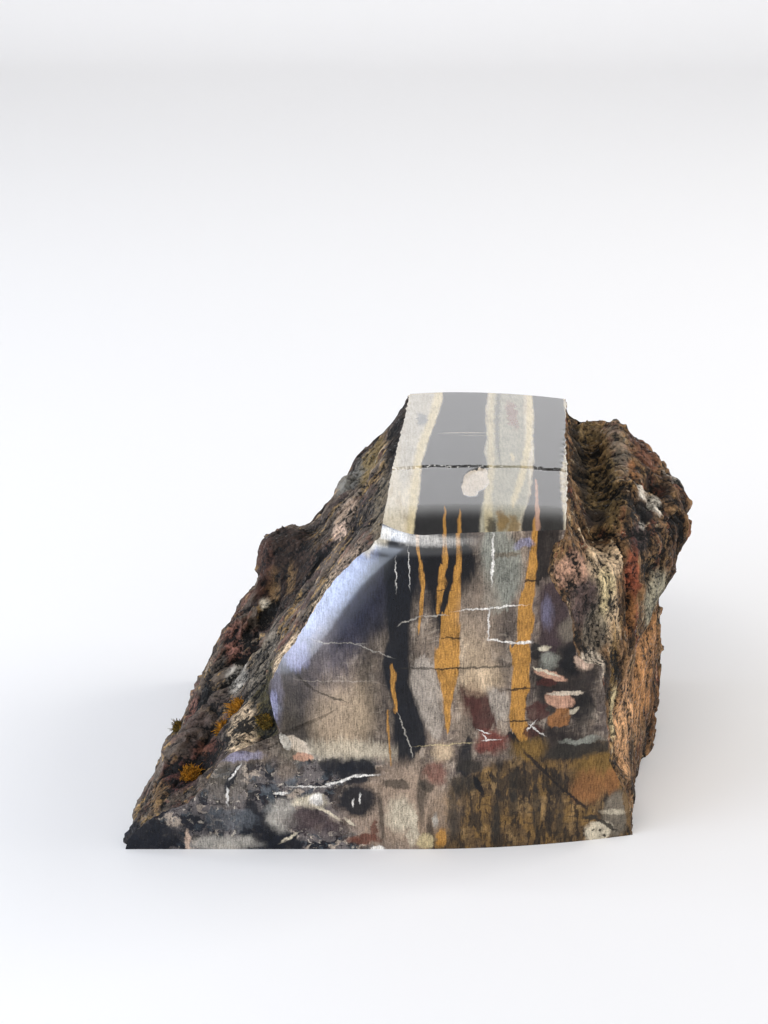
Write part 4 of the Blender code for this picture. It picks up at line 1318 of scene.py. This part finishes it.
# How each broken face is coloured: its ground, the patches laid over it as (size, stretch, span, strength,
# colour) with Z up the grain, and cloudy marks as (middle, reach, edge, strength, colour) in x, y and z.
LEFT_LEAN = math.radians(90) - LEFT_SLOPE
LEFT_GROUND = "52483f"
LEFT_PATCHES = (
    (6.0, (1.0, 0.8, 0.25), (0.5, 0.58), 0.9, "3d322e"),
    (5.0, (1.0, 0.8, 0.2), (0.56, 0.64), 0.8, "7c6f60"),
    (4.0, (1.0, 0.8, 0.2), (0.56, 0.63), 0.7, "64463a"),
    (2.5, (1.0, 0.8, 0.2), (0.56, 0.62), 0.8, "8d7148"),
)
LEFT_MARKS = (
    ((-57, 34, 24), (9, 15, 9), 0.3, 0.8, "bark_grey"),
    ((-60, 50, 18), (3, 8, 8), 0.3, 0.8, "clay"),
    ((-60, 14, 17), (8, 8, 6), 0.3, 0.9, "maroon"),
    ((-53, 20, 22), (5, 7, 5), 0.3, 0.8, "rust"),
    ((-67, 10, 12), (4, 8, 5), 0.3, 0.7, "brown"),
    ((-76, 2, 2), (7, 12, 6), 0.25, 0.95, "navy"),
    ((-47, 53, 42), (3, 6, 10), 0.3, 0.85, "clay"),
    # A pale grey patch on the slab: painted highlight.
    ((-45, 44, 35), (4, 7, 5), 0.3, 0.7, "cloud"),
    ((-37, 38, 46), (6, 15, 9), 0.3, 0.8, "gravel"),
    ((-42, 8, 36), (5, 9, 8), 0.25, 0.95, "sand"),
    ((-39, 24, 43), (5, 10, 6), 0.3, 0.8, "gravel"),
    ((-34, 8, 40), (4.5, 7, 7), 0.25, 0.95, "mossy"),
    ((-34, 10, 50), (5, 9, 8), 0.3, 0.85, "mossy"),
    ((-37, 18, 45), (5, 4, 4), 0.3, 0.85, "mossy"),
    ((-27, 7, 60), (6, 8, 12), 0.2, 0.95, "sand"),
    ((-18, 8, 76), (6, 8, 12), 0.2, 0.95, "sand"),
    ((-11, 12, 87), (7, 8, 8), 0.3, 0.7, "beige"),
    ((0, 30, 99), (5, 26, 5), 0.3, 0.85, "grit"),
    ((4, 75, 100), (4, 40, 4), 0.3, 0.9, "umber"),
    ((-4, 90, 89), (6, 24, 7), 0.3, 0.85, "olive_brown"),
    ((-10, 92, 81), (6, 20, 5), 0.3, 0.85, "slate_grey"),
    ((-11, 57, 84), (5, 9, 6), 0.3, 0.7, "beige"),
    ((-13, 52, 80), (3, 5, 3), 0.3, 0.7, "blush"),
    ((-17.6, 6, 78), (1.6, 4, 3.5), 0.3, 0.9, "rust"),
    # The pillar's near black: partly its own dark brown, partly painted shade so that its form reads.
    ((-33, 62, 66), (14, 18, 15), 0.25, 0.95, "pillar"),
    ((-35, 60, 56), (2, 7, 8), 0.4, 0.7, "brown"),
    ((-29, 58, 60), (1.5, 7, 8), 0.4, 0.7, "brown"),
    ((-38, 66, 64), (3, 12, 14), 0.4, 0.2, "rust"),
    ((-37.3, 60.6, 52), (1.6, 2.2, 2.2), 0.6, 0.9, "cream"),
)
RIGHT_GROUND = "74583c"
RIGHT_PATCHES = (
    (7.0, (1.0, 0.7, 0.4), (0.5, 0.58), 0.9, "42301f"),
    (5.0, (1.0, 0.7, 0.25), (0.54, 0.62), 0.85, "9a7a50"),
    (4.0, (1.0, 0.7, 0.25), (0.55, 0.62), 0.85, "6b3d2c"),
    (2.5, (1.0, 0.7, 0.25), (0.57, 0.63), 0.85, "231a14"),
    (2.0, (1.0, 0.7, 0.25), (0.6, 0.66), 0.7, "bda98a"),
)
RIGHT_MARKS = (
    ((66, 75, 92), (7, 50, 7), 0.25, 0.7, "olive_brown"),
    ((61, 85, 92), (3, 40, 6), 0.3, 0.8, "umber"),
    ((68, 88, 92), (4, 14, 5), 0.3, 0.7, "brown"),
    ((63, 43, 88), (4, 5, 4), 0.3, 0.9, "umber"),
    ((74, 85, 96), (2.5, 24, 4), 0.4, 0.6, "gravel"),
    ((83, 98, 91), (6, 20, 6), 0.3, 0.7, "rust"),
    ((92, 82, 85), (4, 5, 4), 0.3, 0.8, "cloud"),
    # Near black in a hollow of the right flank's shoulder: painted shade.
    ((86, 69, 89), (5, 7, 4), 0.3, 0.95, "umber"),
    ((77, 68, 94), (2, 7, 3), 0.3, 0.8, "sienna"),
    ((77, 57, 92), (3.4, 6, 3), 0.3, 0.9, "chalk"),
    ((82, 54, 88), (3, 4.5, 4), 0.3, 0.9, "chalk"),
    ((78, 47, 89), (4, 5, 3.5), 0.3, 0.95, "ink"),
    ((76, 37, 85), (3, 6, 4), 0.3, 0.9, "plum"),
    # Small pale spots: painted glints.
    ((77, 42, 87), (2.5, 2.5, 1.2), 0.3, 0.9, "chalk"),
    ((74, 33, 83), (2, 3, 5), 0.3, 0.85, "maroon"),
    ((73, 29, 77), (2.6, 4, 7), 0.3, 0.9, "rust_red"),
    ((72.5, 27, 64), (2, 4, 8), 0.3, 0.8, "sienna"),
    ((91, 74, 79), (5, 18, 7), 0.3, 0.8, "bark_brown"),
    ((88, 58, 72), (5, 14, 9), 0.3, 0.7, "bark_brown"),
    ((83, 43, 61), (5, 15, 10), 0.3, 0.85, "reed"),
    ((85, 52, 51), (5, 16, 3), 0.3, 0.85, "umber"),
    ((63, 20, 84), (8, 10, 6), 0.3, 0.85, "sand"),
    ((64, 14, 76), (4, 7, 9), 0.3, 0.9, "yellow_cream"),
    ((66, 18, 66), (3, 6, 10), 0.3, 0.8, "sand"),
    ((57, 9, 77), (6, 7, 8), 0.3, 0.85, "plum"),
    ((53, 8, 87), (6, 7, 5), 0.3, 0.9, "clay_pink"),
    ((61, 10, 67), (5, 6, 7), 0.3, 0.85, "gravel"),
    ((59, 6, 57.5), (5.5, 5, 4.5), 0.25, 0.95, "flake"),
    ((65, 12, 50), (4, 7, 7), 0.3, 0.85, "umber"),
    ((67, 15, 56), (2, 5, 12), 0.3, 0.8, "old_ochre"),
    ((82, 44, 36), (8, 30, 18), 0.2, 0.95, "slab"),
    ((72, 22, 30), (5, 12, 18), 0.2, 0.95, "slab_pale"),
    ((86, 60, 26), (4, 6, 26), 0.4, 0.8, "slab_dark"),
    ((81, 38, 24), (3, 5, 14), 0.4, 0.6, "slab_pale"),
    ((67.5, 15.5, 38), (1.6, 3, 10), 0.3, 0.85, "yellow_cream"),
    ((74, 20, 8), (5, 7, 8), 0.3, 0.9, "umber"),
    ((82, 40, 6), (8, 18, 5), 0.4, 0.7, "bark_brown"),
)
BACK_GROUND = "74583c"
BACK_PATCHES = (
    (10.0, (0.7, 1.0, 0.25), (0.5, 0.6), 0.9, "4a3828"),
    (7.0, (0.8, 1.0, 0.2), (0.53, 0.62), 0.85, "9a7a50"),
    (5.0, (1.0, 1.0, 0.15), (0.55, 0.64), 0.8, "6b3d2c"),
    (3.0, (1.0, 1.0, 0.15), (0.57, 0.64), 0.8, "231a14"),
    (2.5, (1.0, 1.0, 0.15), (0.6, 0.68), 0.7, "a89a88"),
)
BACK_MARKS = (
    ((30, 116, 98), (34, 8, 6), 0.4, 0.6, "gravel"),
    ((20, 118, 40), (14, 8, 34), 0.4, 0.8, "slab"),
    ((-5, 118, 60), (5, 8, 30), 0.4, 0.7, "plum"),
    ((55, 118, 50), (10, 8, 40), 0.4, 0.7, "bark_brown"),
    ((-42, 118, 18), (18, 8, 18), 0.4, 0.6, "clay"),
)


# How the broken faces' marks wander, as (size, stretch, amount, detail), the torn fibres over them, as (size,
# stretch, detail, roughness), and the size of the grit.
BROKEN_WANDER = (6.0, (1.0, 1.0, 0.7), (1.8, 1.8, 1.8), 5.0)
TORN_GRAIN = (3.0, (1.0, 1.0, 0.3), 6.0, 0.72)
GRIT_SIZE = 0.8

# How much the torn fibres, the grit and a grain's own tone add to the crest attribute, where that sum is
# darkest and palest, and how dark and how pale the stone is there. The crest attribute's own part is painted
# shade in the hollows and painted highlight on the crests; the fibres, grit and grains are the stone's tone.
TORN_SHARE = 2.4
GRIT_SHARE = 1.1
GRAIN_SHARE = 0.4
BROKEN_SPAN = (2.12, 3.0)
BROKEN_PAINTED_SHADE_AND_TONE = (0.02, 2.1)

# Less than a tenth of the grains show a glinting quartz face: the random tone that picks them, and the
# roughness of the others and of these.
GLINT = {"From Min": 0.9, "From Max": 0.94, "To Min": 0.8, "To Max": 0.3}


def broken_material(look, name, lean, ground_colour, patch_rows, marks):
    """Silicified wood where it broke: torn fibres, steps and grit, matt, with small glinting quartz faces.
    Its cracks are darkened nearly to black and its crests paled from the crest attribute: painted shade and
    painted highlight. The grit is drawn coarser than the real sugary quartz, which is finer than a pixel."""
    material, tree, shader = new_material(name)
    place = stone_place(tree)
    moved = wandering(tree, place, *BROKEN_WANDER)
    stood = node(tree, "Mapping", {"Vector": moved, "Rotation": (0.0, -lean, 0.0)}).outputs[0]
    ground = patched(tree, (*linear(ground_colour), 1.0), stood, patch_rows)
    laid = [("cloud", middle, reach, 0.0, *rest) for middle, reach, *rest in marks]
    painted = paint(tree, ground, {"cloud": moved}, laid, stone_colours(look))
    torn = drawn_noise(tree, stood, *TORN_GRAIN)["Fac"]
    specks = {"Vector": place, "Scale": 1.0 / GRIT_SIZE, "Detail": 3.0, "Roughness": 0.7}
    grit = node(tree, "TexNoise", specks).outputs["Fac"]
    cells = node(tree, "TexVoronoi", {"Vector": place, "Scale": 1.0 / look.grain_size * MILLIMETRE})
    random = node(tree, "SeparateColor", {0: cells.outputs["Color"]}).outputs
    height = node(tree, "Attribute", attribute_name="crest").outputs["Fac"]
    layers = ((torn, TORN_SHARE), (grit, GRIT_SHARE), (random[0], GRAIN_SHARE))
    rise = added_up(tree, layers, height)
    breaks = node(tree, "Bump", {"Height": rise, "Strength": 0.8, "Distance": 0.5 * MILLIMETRE})
    rounded = {"Height": cells.outputs["Distance"], "Strength": 0.6, "Distance": 0.25 * MILLIMETRE,
               "Normal": breaks.outputs[0]}
    # The base colour gets painted shade in the small relief's hollows and painted highlight on its crests,
    # along with the stone's own tone from the torn fibres, grit and grains.
    fill(tree, shader, {
        "Base Color": shaded(tree, painted, rise, BROKEN_SPAN, BROKEN_PAINTED_SHADE_AND_TONE),
        "Roughness": node(tree, "MapRange", {"Value": random[1], **GLINT}).outputs[0],
        "IOR": SILICA_IOR,
        "Specular IOR Level": 0.25,
        "Normal": node(tree, "Bump", rounded, invert=True).outputs[0],
    })
    return material


BASE_PATCHES = (
    (12.0, (1.0, 0.4, 1.0), (0.45, 0.65), 0.8, "4a423c"),
    (7.0, (1.0, 0.4, 1.0), (0.55, 0.7), 0.8, "7a6138"),
)


def base_material(look):
    """The sawn base, ground flat but not polished: dull, with the saw's fine straight scores, drawn about
    twice as wide as real ones."""
    material, tree, shader = new_material("petrified_wood_sawn_base")
    place = stone_place(tree)
    ground = patched(tree, (*look.ground_colour, 1.0), place, BASE_PATCHES)
    saw = drawn_noise(tree, place, 0.5, (0.02, 1.0, 1.0), 2.0, 0.5)["Fac"]
    bump = node(tree, "Bump", {"Height": saw, "Strength": 0.5, "Distance": 0.05 * MILLIMETRE})
    fill(tree, shader, {"Base Color": ground, "Roughness": 0.55, "Normal": bump.outputs[0]})
    return material


# Dried moss: (node, slot, place, length, width and height of the tuft, share of the usual number of fronds).
MOSS = (
    ("moss_upper_tuft", "ochre_moss", (-45.2, 26.0, 33.8), (9.0, 5.5, 3.6), 1.2),
    ("moss_middle_tuft", "ochre_moss", (-49.2, 25.7, 27.0), (5.5, 4.5, 3.2), 0.7),
    ("moss_lower_tuft", "ochre_moss", (-57.3, 14.7, 18.9), (6.5, 5.0, 3.4), 0.9),
    ("moss_recess_tuft", "olive_moss", (-35.6, 7.8, 39.1), (5.5, 4.5, 2.6), 0.8),
    ("moss_outer_sprig", "olive_moss", (-65.3, 57.0, 10.8), (3.6, 3.0, 3.4), 0.4),
)
FROND_SIDES = 4
FROND_RINGS = 4
FROND_TAPER = 0.35
MOSS_FUZZ = 0.25

# How a tuft grows: how much of its length and width its roots fill, how its height falls to the sides and the
# least it keeps, how far its fronds lean and curl, how deep they are rooted, and how far they wave.
TUFT_FILL = 0.46
DOME_FALL = 0.8
DOME_LEAST = 0.05
LEAN_SPREAD = 0.7
CURL_SPREAD = 0.6
STEEPEST_LEAN = 0.15
ROOT_DEPTH = 0.3
WAVE = (7.0, 6.0, 0.12)


def frond_mesh():
    """One straight frond of unit length and width, standing on the origin, as a mesh to bend copies of."""
    mesh = bmesh.new()
    bmesh.ops.create_cone(mesh, cap_ends=True, segments=FROND_SIDES, radius1=0.5, radius2=0.5 * FROND_TAPER,
                          depth=1.0)
    bmesh.ops.translate(mesh, verts=mesh.verts, vec=(0.0, 0.0, 0.5))
    along = [e for e in mesh.edges if abs(e.verts[0].co.z - e.verts[1].co.z) > 0.5]
    bmesh.ops.subdivide_edges(mesh, edges=along, cuts=FROND_RINGS - 1, use_grid_fill=True)
    return mesh_data("frond", mesh)


def tuft_mesh(stone, frond, place, size, count, look, random):
    """A tangle of curled fronds that covers the tuft's footprint on the stone, in millimetres."""
    origin = Vector((FOOTPRINT_MIDDLE_X, FOOTPRINT_MIDDLE_Y, 0.0))
    middle, outward, _, _ = stone.find_nearest(Vector(place) - origin)
    turn = outward.to_track_quat("Z", "Y").to_matrix()
    straight = np.array([v.co for v in frond.vertices])
    mesh = bmesh.new()
    for _ in range(count):
        angle, reach = random.uniform(0, 2 * math.pi), math.sqrt(random.uniform(0, 1))
        fill_x, fill_y = size[0] * TUFT_FILL * reach, size[1] * TUFT_FILL * reach
        spot = turn @ Vector((fill_x * math.cos(angle), fill_y * math.sin(angle), 0))
        root, normal, _, _ = stone.find_nearest(middle + spot)
        dome = math.sqrt(max(DOME_LEAST, 1.0 - DOME_FALL * reach**2))
        length = size[2] * dome * random.uniform(0.5, 1.0) * look.frond_length
        lean = Vector(random.normal(0, LEAN_SPREAD, 3).tolist())
        curl = Vector(random.normal(0, CURL_SPREAD, 3).tolist())
        heading = (normal + lean).normalized()
        if heading.dot(normal) < STEEPEST_LEAN:
            heading = (heading + normal * 0.5).normalized()
        start = root - normal * ROOT_DEPTH + normal * random.uniform(0, 0.3) * size[2] * dome
        face = heading.to_track_quat("Z", "Y").to_matrix()
        width = look.frond_width / MILLIMETRE * random.uniform(0.6, 1.3)
        first = len(mesh.verts)
        mesh.from_mesh(frond)
        mesh.verts.ensure_lookup_table()
        for offset, (across, along, up) in enumerate(straight):
            bent = curl * length * up * up * 0.6
            wave = Vector((math.sin(up * WAVE[0] + first), math.cos(up * WAVE[1] + first), 0.0)) * WAVE[2]
            point = face @ (Vector((across * width, along * width, up * length)) + wave) + bent
            mesh.verts[first + offset].co = start + point
    return mesh


MOSS_PATCHES = (
    (1.6, EVEN, (0.45, 0.62), 0.8, "3a2a10"),
    (0.9, EVEN, (0.55, 0.68), 0.6, "c99a3c"),
)


def moss_material(name, colour):
    """Dried moss, grown in the stone's hollows: matt and frayed, with darker and paler fronds. Its fuzz is
    drawn coarser than the real one, which is finer than a pixel."""
    material, tree, shader = new_material(name)
    place = stone_place(tree)
    ground = patched(tree, (*colour, 1.0), place, MOSS_PATCHES)
    fine = node(tree, "TexNoise", {"Vector": place, "Scale": 1.0 / MOSS_FUZZ, "Detail": 2.0})
    bump = node(tree, "Bump", {"Height": fine.outputs["Fac"], "Strength": 0.6, "Distance": 0.1 * MILLIMETRE})
    fill(tree, shader, {"Base Color": ground, "Roughness": 0.9, "Specular IOR Level": 0.2,
                        "Normal": bump.outputs[0]})
    return material


class StoneSettings(bpy.types.PropertyGroup):
    """The sizes and colours of the stone."""

    breakage: FloatProperty(name="Breakage", description="How deep the small breaks of the rough faces are",
                            default=1.0, min=0.0, max=2.0, subtype="FACTOR")
    crack_width: FloatProperty(name="Crack Width", description="Half the width of the crack across the band",
                               default=0.0009, min=0.0, unit="LENGTH", subtype="DISTANCE")
    crack_depth: FloatProperty(name="Crack Depth", description="Depth of the crack across the band",
                               default=0.0016, min=0.0, unit="LENGTH", subtype="DISTANCE")
    grain_size: FloatProperty(name="Grain Size", description="Width of a grain on the rough faces",
                              default=0.0008, min=0.0002, unit="LENGTH", subtype="DISTANCE")
    polish: FloatProperty(name="Polish", description="Roughness of the polished faces",
                          default=0.13, min=0.0, max=1.0, subtype="FACTOR")
    ground_colour: FloatVectorProperty(name="Ground Colour", description="Colour of the polished wood grain",
                                       default=linear(PALETTE["greige"]), min=0.0, max=1.0, subtype="COLOR")
    ochre_colour: FloatVectorProperty(name="Ochre Colour", description="Colour of the rust-coloured stripes",
                                      default=linear(PALETTE["ochre"]), min=0.0, max=1.0, subtype="COLOR")
    dark_colour: FloatVectorProperty(name="Dark Colour", description="Colour of the near-black silica",
                                     default=linear(PALETTE["ink"]), min=0.0, max=1.0, subtype="COLOR")


class MossSettings(bpy.types.PropertyGroup):
    """The sizes and colours of the dried moss."""

    fronds: IntProperty(name="Fronds", description="How many fronds a tuft has, for a tuft of plain size",
                        default=520, min=10, max=1500)
    frond_length: FloatProperty(name="Frond Length", description="Length of a frond, as a share of its tuft",
                                default=0.75, min=0.2, max=2.0, subtype="FACTOR")
    frond_width: FloatProperty(name="Frond Width", description="Width of a frond at its root",
                               default=0.0005, min=0.0001, unit="LENGTH", subtype="DISTANCE")
    ochre_colour: FloatVectorProperty(name="Ochre Moss", description="Colour of the ochre tufts",
                                      default=linear("a8701c"), min=0.0, max=1.0, subtype="COLOR")
    olive_colour: FloatVectorProperty(name="Olive Moss", description="Colour of the olive tufts",
                                      default=linear("5a4c22"), min=0.0, max=1.0, subtype="COLOR")


class StageSettings(bpy.types.PropertyGroup):
    """The floor, the lights and the camera."""

    floor_colour: FloatVectorProperty(name="Floor Colour", description="Colour of the floor and the backdrop",
                                      default=linear("f1f0f0"), min=0.0, max=1.0, subtype="COLOR")
    room_light: FloatProperty(name="Room Light", description="Strength of the light from all round",
                              default=0.93, min=0.0)
    window_light: FloatProperty(name="Window Light", description="Power of the soft window on the left",
                                default=13.0, min=0.0, unit="POWER")
    overhead_light: FloatProperty(name="Overhead Light", description="Power of the soft light overhead",
                                  default=5.0, min=0.0, unit="POWER")
    fill_light: FloatProperty(name="Fill Light", description="Power of each of the two wide soft lights",
                              default=9.0, min=0.0, unit="POWER")
    lens: FloatProperty(name="Lens", description="Focal length of the camera in millimetres", default=70.0,
                        min=10.0, unit="CAMERA")


class PETRIFIED_OT_stone(bpy.types.Operator):
    """Builds the petrified wood in place of its plain solid"""

    bl_idname = "petrified.stone"
    bl_label = "Petrified Wood"

    def execute(self, context):
        look = context.scene.petrified_stone
        broken = (
            ("left", LEFT_LEAN, LEFT_GROUND, LEFT_PATCHES, LEFT_MARKS),
            ("right", 0.0, RIGHT_GROUND, RIGHT_PATCHES, RIGHT_MARKS),
            ("back", 0.0, BACK_GROUND, BACK_PATCHES, BACK_MARKS),
        )
        mesh = stone_mesh(look)
        materials = [band_material(look)]
        for side, *colouring in broken:
            materials.append(broken_material(look, "petrified_wood_broken_" + side, *colouring))
        materials.append(base_material(look))
        for zone, low, high in FRONT_ZONES:
            materials.append(front_material(look, zone, low, high))
        add_piece("stone_body", mesh, materials, "petrified_wood", "petrified_wood")
        return {"FINISHED"}


class PETRIFIED_OT_moss(bpy.types.Operator):
    """Grows the tufts of dried moss on the stone"""

    bl_idname = "petrified.moss"
    bl_label = "Dried Moss"

    def execute(self, context):
        look = context.scene.petrified_moss
        body = bpy.data.objects["stone_body"]
        shape = bmesh.new()
        shape.from_mesh(body.data)
        bmesh.ops.scale(shape, verts=shape.verts, vec=(1.0 / MILLIMETRE, 1.0 / MILLIMETRE, 1.0 / MILLIMETRE))
        stone = BVHTree.FromBMesh(shape)
        shape.free()
        frond = frond_mesh()
        materials = {
            "ochre_moss": moss_material("dried_moss_ochre", look.ochre_colour),
            "olive_moss": moss_material("dried_moss_olive", look.olive_colour),
        }
        random = np.random.default_rng(7)
        for name, slot, place, size, share in MOSS:
            count = int(look.fronds * share)
            mesh = tuft_mesh(stone, frond, place, size, count, look, random)
            add_piece(name + "_fronds", mesh, [materials[slot]], slot, name)
        bpy.data.meshes.remove(frond)
        return {"FINISHED"}


# The studio: a floor that curves up into a backdrop, and soft lights, in metres.
FLOOR_HALF = 2.2
BACKDROP_Y = 1.3
BACKDROP_HEIGHT = 0.45
CURVE_RADIUS = 0.5
CURVE_STEPS = 24
MERGE_DISTANCE = 0.0001
CAMERA_PLACE = (-0.0092, -0.5682, 0.3131)
CAMERA_TILT = 68.0

# The room is lit evenly up to this height of the sky, and darkens to a share of that at the other.
ROOM_CEILING = (0.5, 0.8)
CEILING_SHARE = 0.12

# The soft lights, each (name, place, aim, size, colour, the setting for its power, its share of that).
OBJECT_MIDDLE = (0.0, 0.0, 0.05)
LIGHTS = (
    ("window", (-1.05, -0.34, 0.42), OBJECT_MIDDLE, (1.35, 0.7), (0.72, 0.82, 1.0), "window_light", 1.0),
    ("overhead", (-0.3, -0.8, 1.15), OBJECT_MIDDLE, (0.7, 0.3), (1.0, 0.97, 0.92), "overhead_light", 1.0),
    ("fill_right", (1.2, 0.2, 0.8), OBJECT_MIDDLE, (0.8, 0.8), (1.0, 0.98, 0.96), "fill_light", 1.0),
    ("fill_back", (0.0, 0.3, 1.5), (0.0, 1.7, 0.9), (1.2, 0.6), (0.97, 0.98, 1.0), "fill_light", 1.05),
)


def floor_mesh():
    """A floor that curves up into a backdrop behind the object."""
    mesh = bmesh.new()
    edge = bmesh.ops.create_grid(mesh, x_segments=1, y_segments=1, size=FLOOR_HALF)
    back = [v for v in edge["verts"] if v.co.y > 0.0]
    for vertex in back:
        vertex.co.y = BACKDROP_Y
    run = [e for e in mesh.edges if all(v.co.y > BACKDROP_Y - 0.01 for v in e.verts)]
    spun = bmesh.ops.spin(mesh, geom=run, axis=(1, 0, 0), cent=(0, BACKDROP_Y, CURVE_RADIUS),
                          steps=CURVE_STEPS, angle=math.radians(90), use_merge=False)
    last = [e for e in spun["geom_last"] if isinstance(e, bmesh.types.BMEdge)]
    raised = bmesh.ops.extrude_edge_only(mesh, edges=last)["geom"]
    bmesh.ops.translate(mesh, verts=[v for v in raised if isinstance(v, bmesh.types.BMVert)],
                        vec=(0.0, 0.0, BACKDROP_HEIGHT))
    bmesh.ops.remove_doubles(mesh, verts=mesh.verts, dist=MERGE_DISTANCE)
    return mesh


def add_light(name, place, aim, size, colour, power):
    """A soft rectangular light at this place, turned towards the aim."""
    data = bpy.data.lights.new(name, "AREA")
    data.shape = "RECTANGLE"
    data.size, data.size_y = size
    data.energy = power
    data.color = colour
    light = add_object(name, data)
    light.location = place
    light.rotation_euler = (Vector(aim) - Vector(place)).to_track_quat("-Z", "Y").to_euler()


class PETRIFIED_OT_stage(bpy.types.Operator):
    """Sets up the floor, the soft lights and the camera"""

    bl_idname = "petrified.stage"
    bl_label = "Studio Stage"

    def execute(self, context):
        look = context.scene.petrified_stage
        scene = context.scene
        data = mesh_data("floor", floor_mesh())
        data.shade_smooth()
        material, tree, shader = new_material("matt_paper_floor")
        paper = {"Base Color": (*look.floor_colour, 1.0), "Roughness": 0.9, "Specular IOR Level": 0.1}
        fill(tree, shader, paper)
        data.materials.append(material)
        floor = add_object("floor", data)
        world = bpy.data.worlds.new("studio")
        world.use_nodes = True
        sky = world.node_tree
        heading = node(sky, "SeparateXYZ", {0: node(sky, "TexCoord").outputs["Generated"]})
        fall = {"Value": heading.outputs[2], "From Min": ROOM_CEILING[0], "From Max": ROOM_CEILING[1],
                "To Min": look.room_light, "To Max": CEILING_SHARE * look.room_light}
        height = node(sky, "MapRange", fall, interpolation_type="SMOOTHSTEP")
        fill(sky, sky.nodes["Background"], {"Color": (1.0, 1.0, 1.0, 1.0), "Strength": height.outputs[0]})
        scene.world = world
        for *light, power, share in LIGHTS:
            add_light(*light, share * getattr(look, power))
        camera = bpy.data.cameras.new("camera")
        camera.lens = look.lens
        camera.sensor_width = 36.0
        camera.clip_start = 0.01
        viewer = add_object("camera", camera)
        viewer.location = CAMERA_PLACE
        viewer.rotation_euler = (math.radians(CAMERA_TILT), 0.0, 0.0)
        scene.camera = viewer
        scene.view_settings.view_transform = "Standard"
        return {"FINISHED"}


class PETRIFIED_PT_panel(bpy.types.Panel):
    """The steps that build the petrified wood, with their settings"""

    bl_label = "Petrified Wood"
    bl_idname = "PETRIFIED_PT_panel"
    bl_space_type = "VIEW_3D"
    bl_region_type = "UI"
    bl_category = "Petrified Wood"

    def draw(self, context):
        parts = (
            ("petrified_stage", "petrified.stage"),
            ("petrified_stone", "petrified.stone"),
            ("petrified_moss", "petrified.moss"),
        )
        for group, operator in parts:
            box = self.layout.box()
            box.operator(operator)
            look = getattr(context.scene, group)
            for name in look.__annotations__:
                box.prop(look, name)


SETTINGS = (
    ("petrified_stage", StageSettings),
    ("petrified_stone", StoneSettings),
    ("petrified_moss", MossSettings),
)
CLASSES = (
    StageSettings,
    StoneSettings,
    MossSettings,
    PETRIFIED_OT_stage,
    PETRIFIED_OT_stone,
    PETRIFIED_OT_moss,
    PETRIFIED_PT_panel,
)


def register():
    for one in CLASSES:
        bpy.utils.register_class(one)
    for name, group in SETTINGS:
        setattr(bpy.types.Scene, name, PointerProperty(type=group))


def unregister():
    for name, _ in SETTINGS:
        delattr(bpy.types.Scene, name)
    for one in reversed(CLASSES):
        bpy.utils.unregister_class(one)


def main():
    register()
    bpy.ops.petrified.stage()
    bpy.ops.petrified.stone()
    bpy.ops.petrified.moss()


if __name__ == "__main__":
    main()
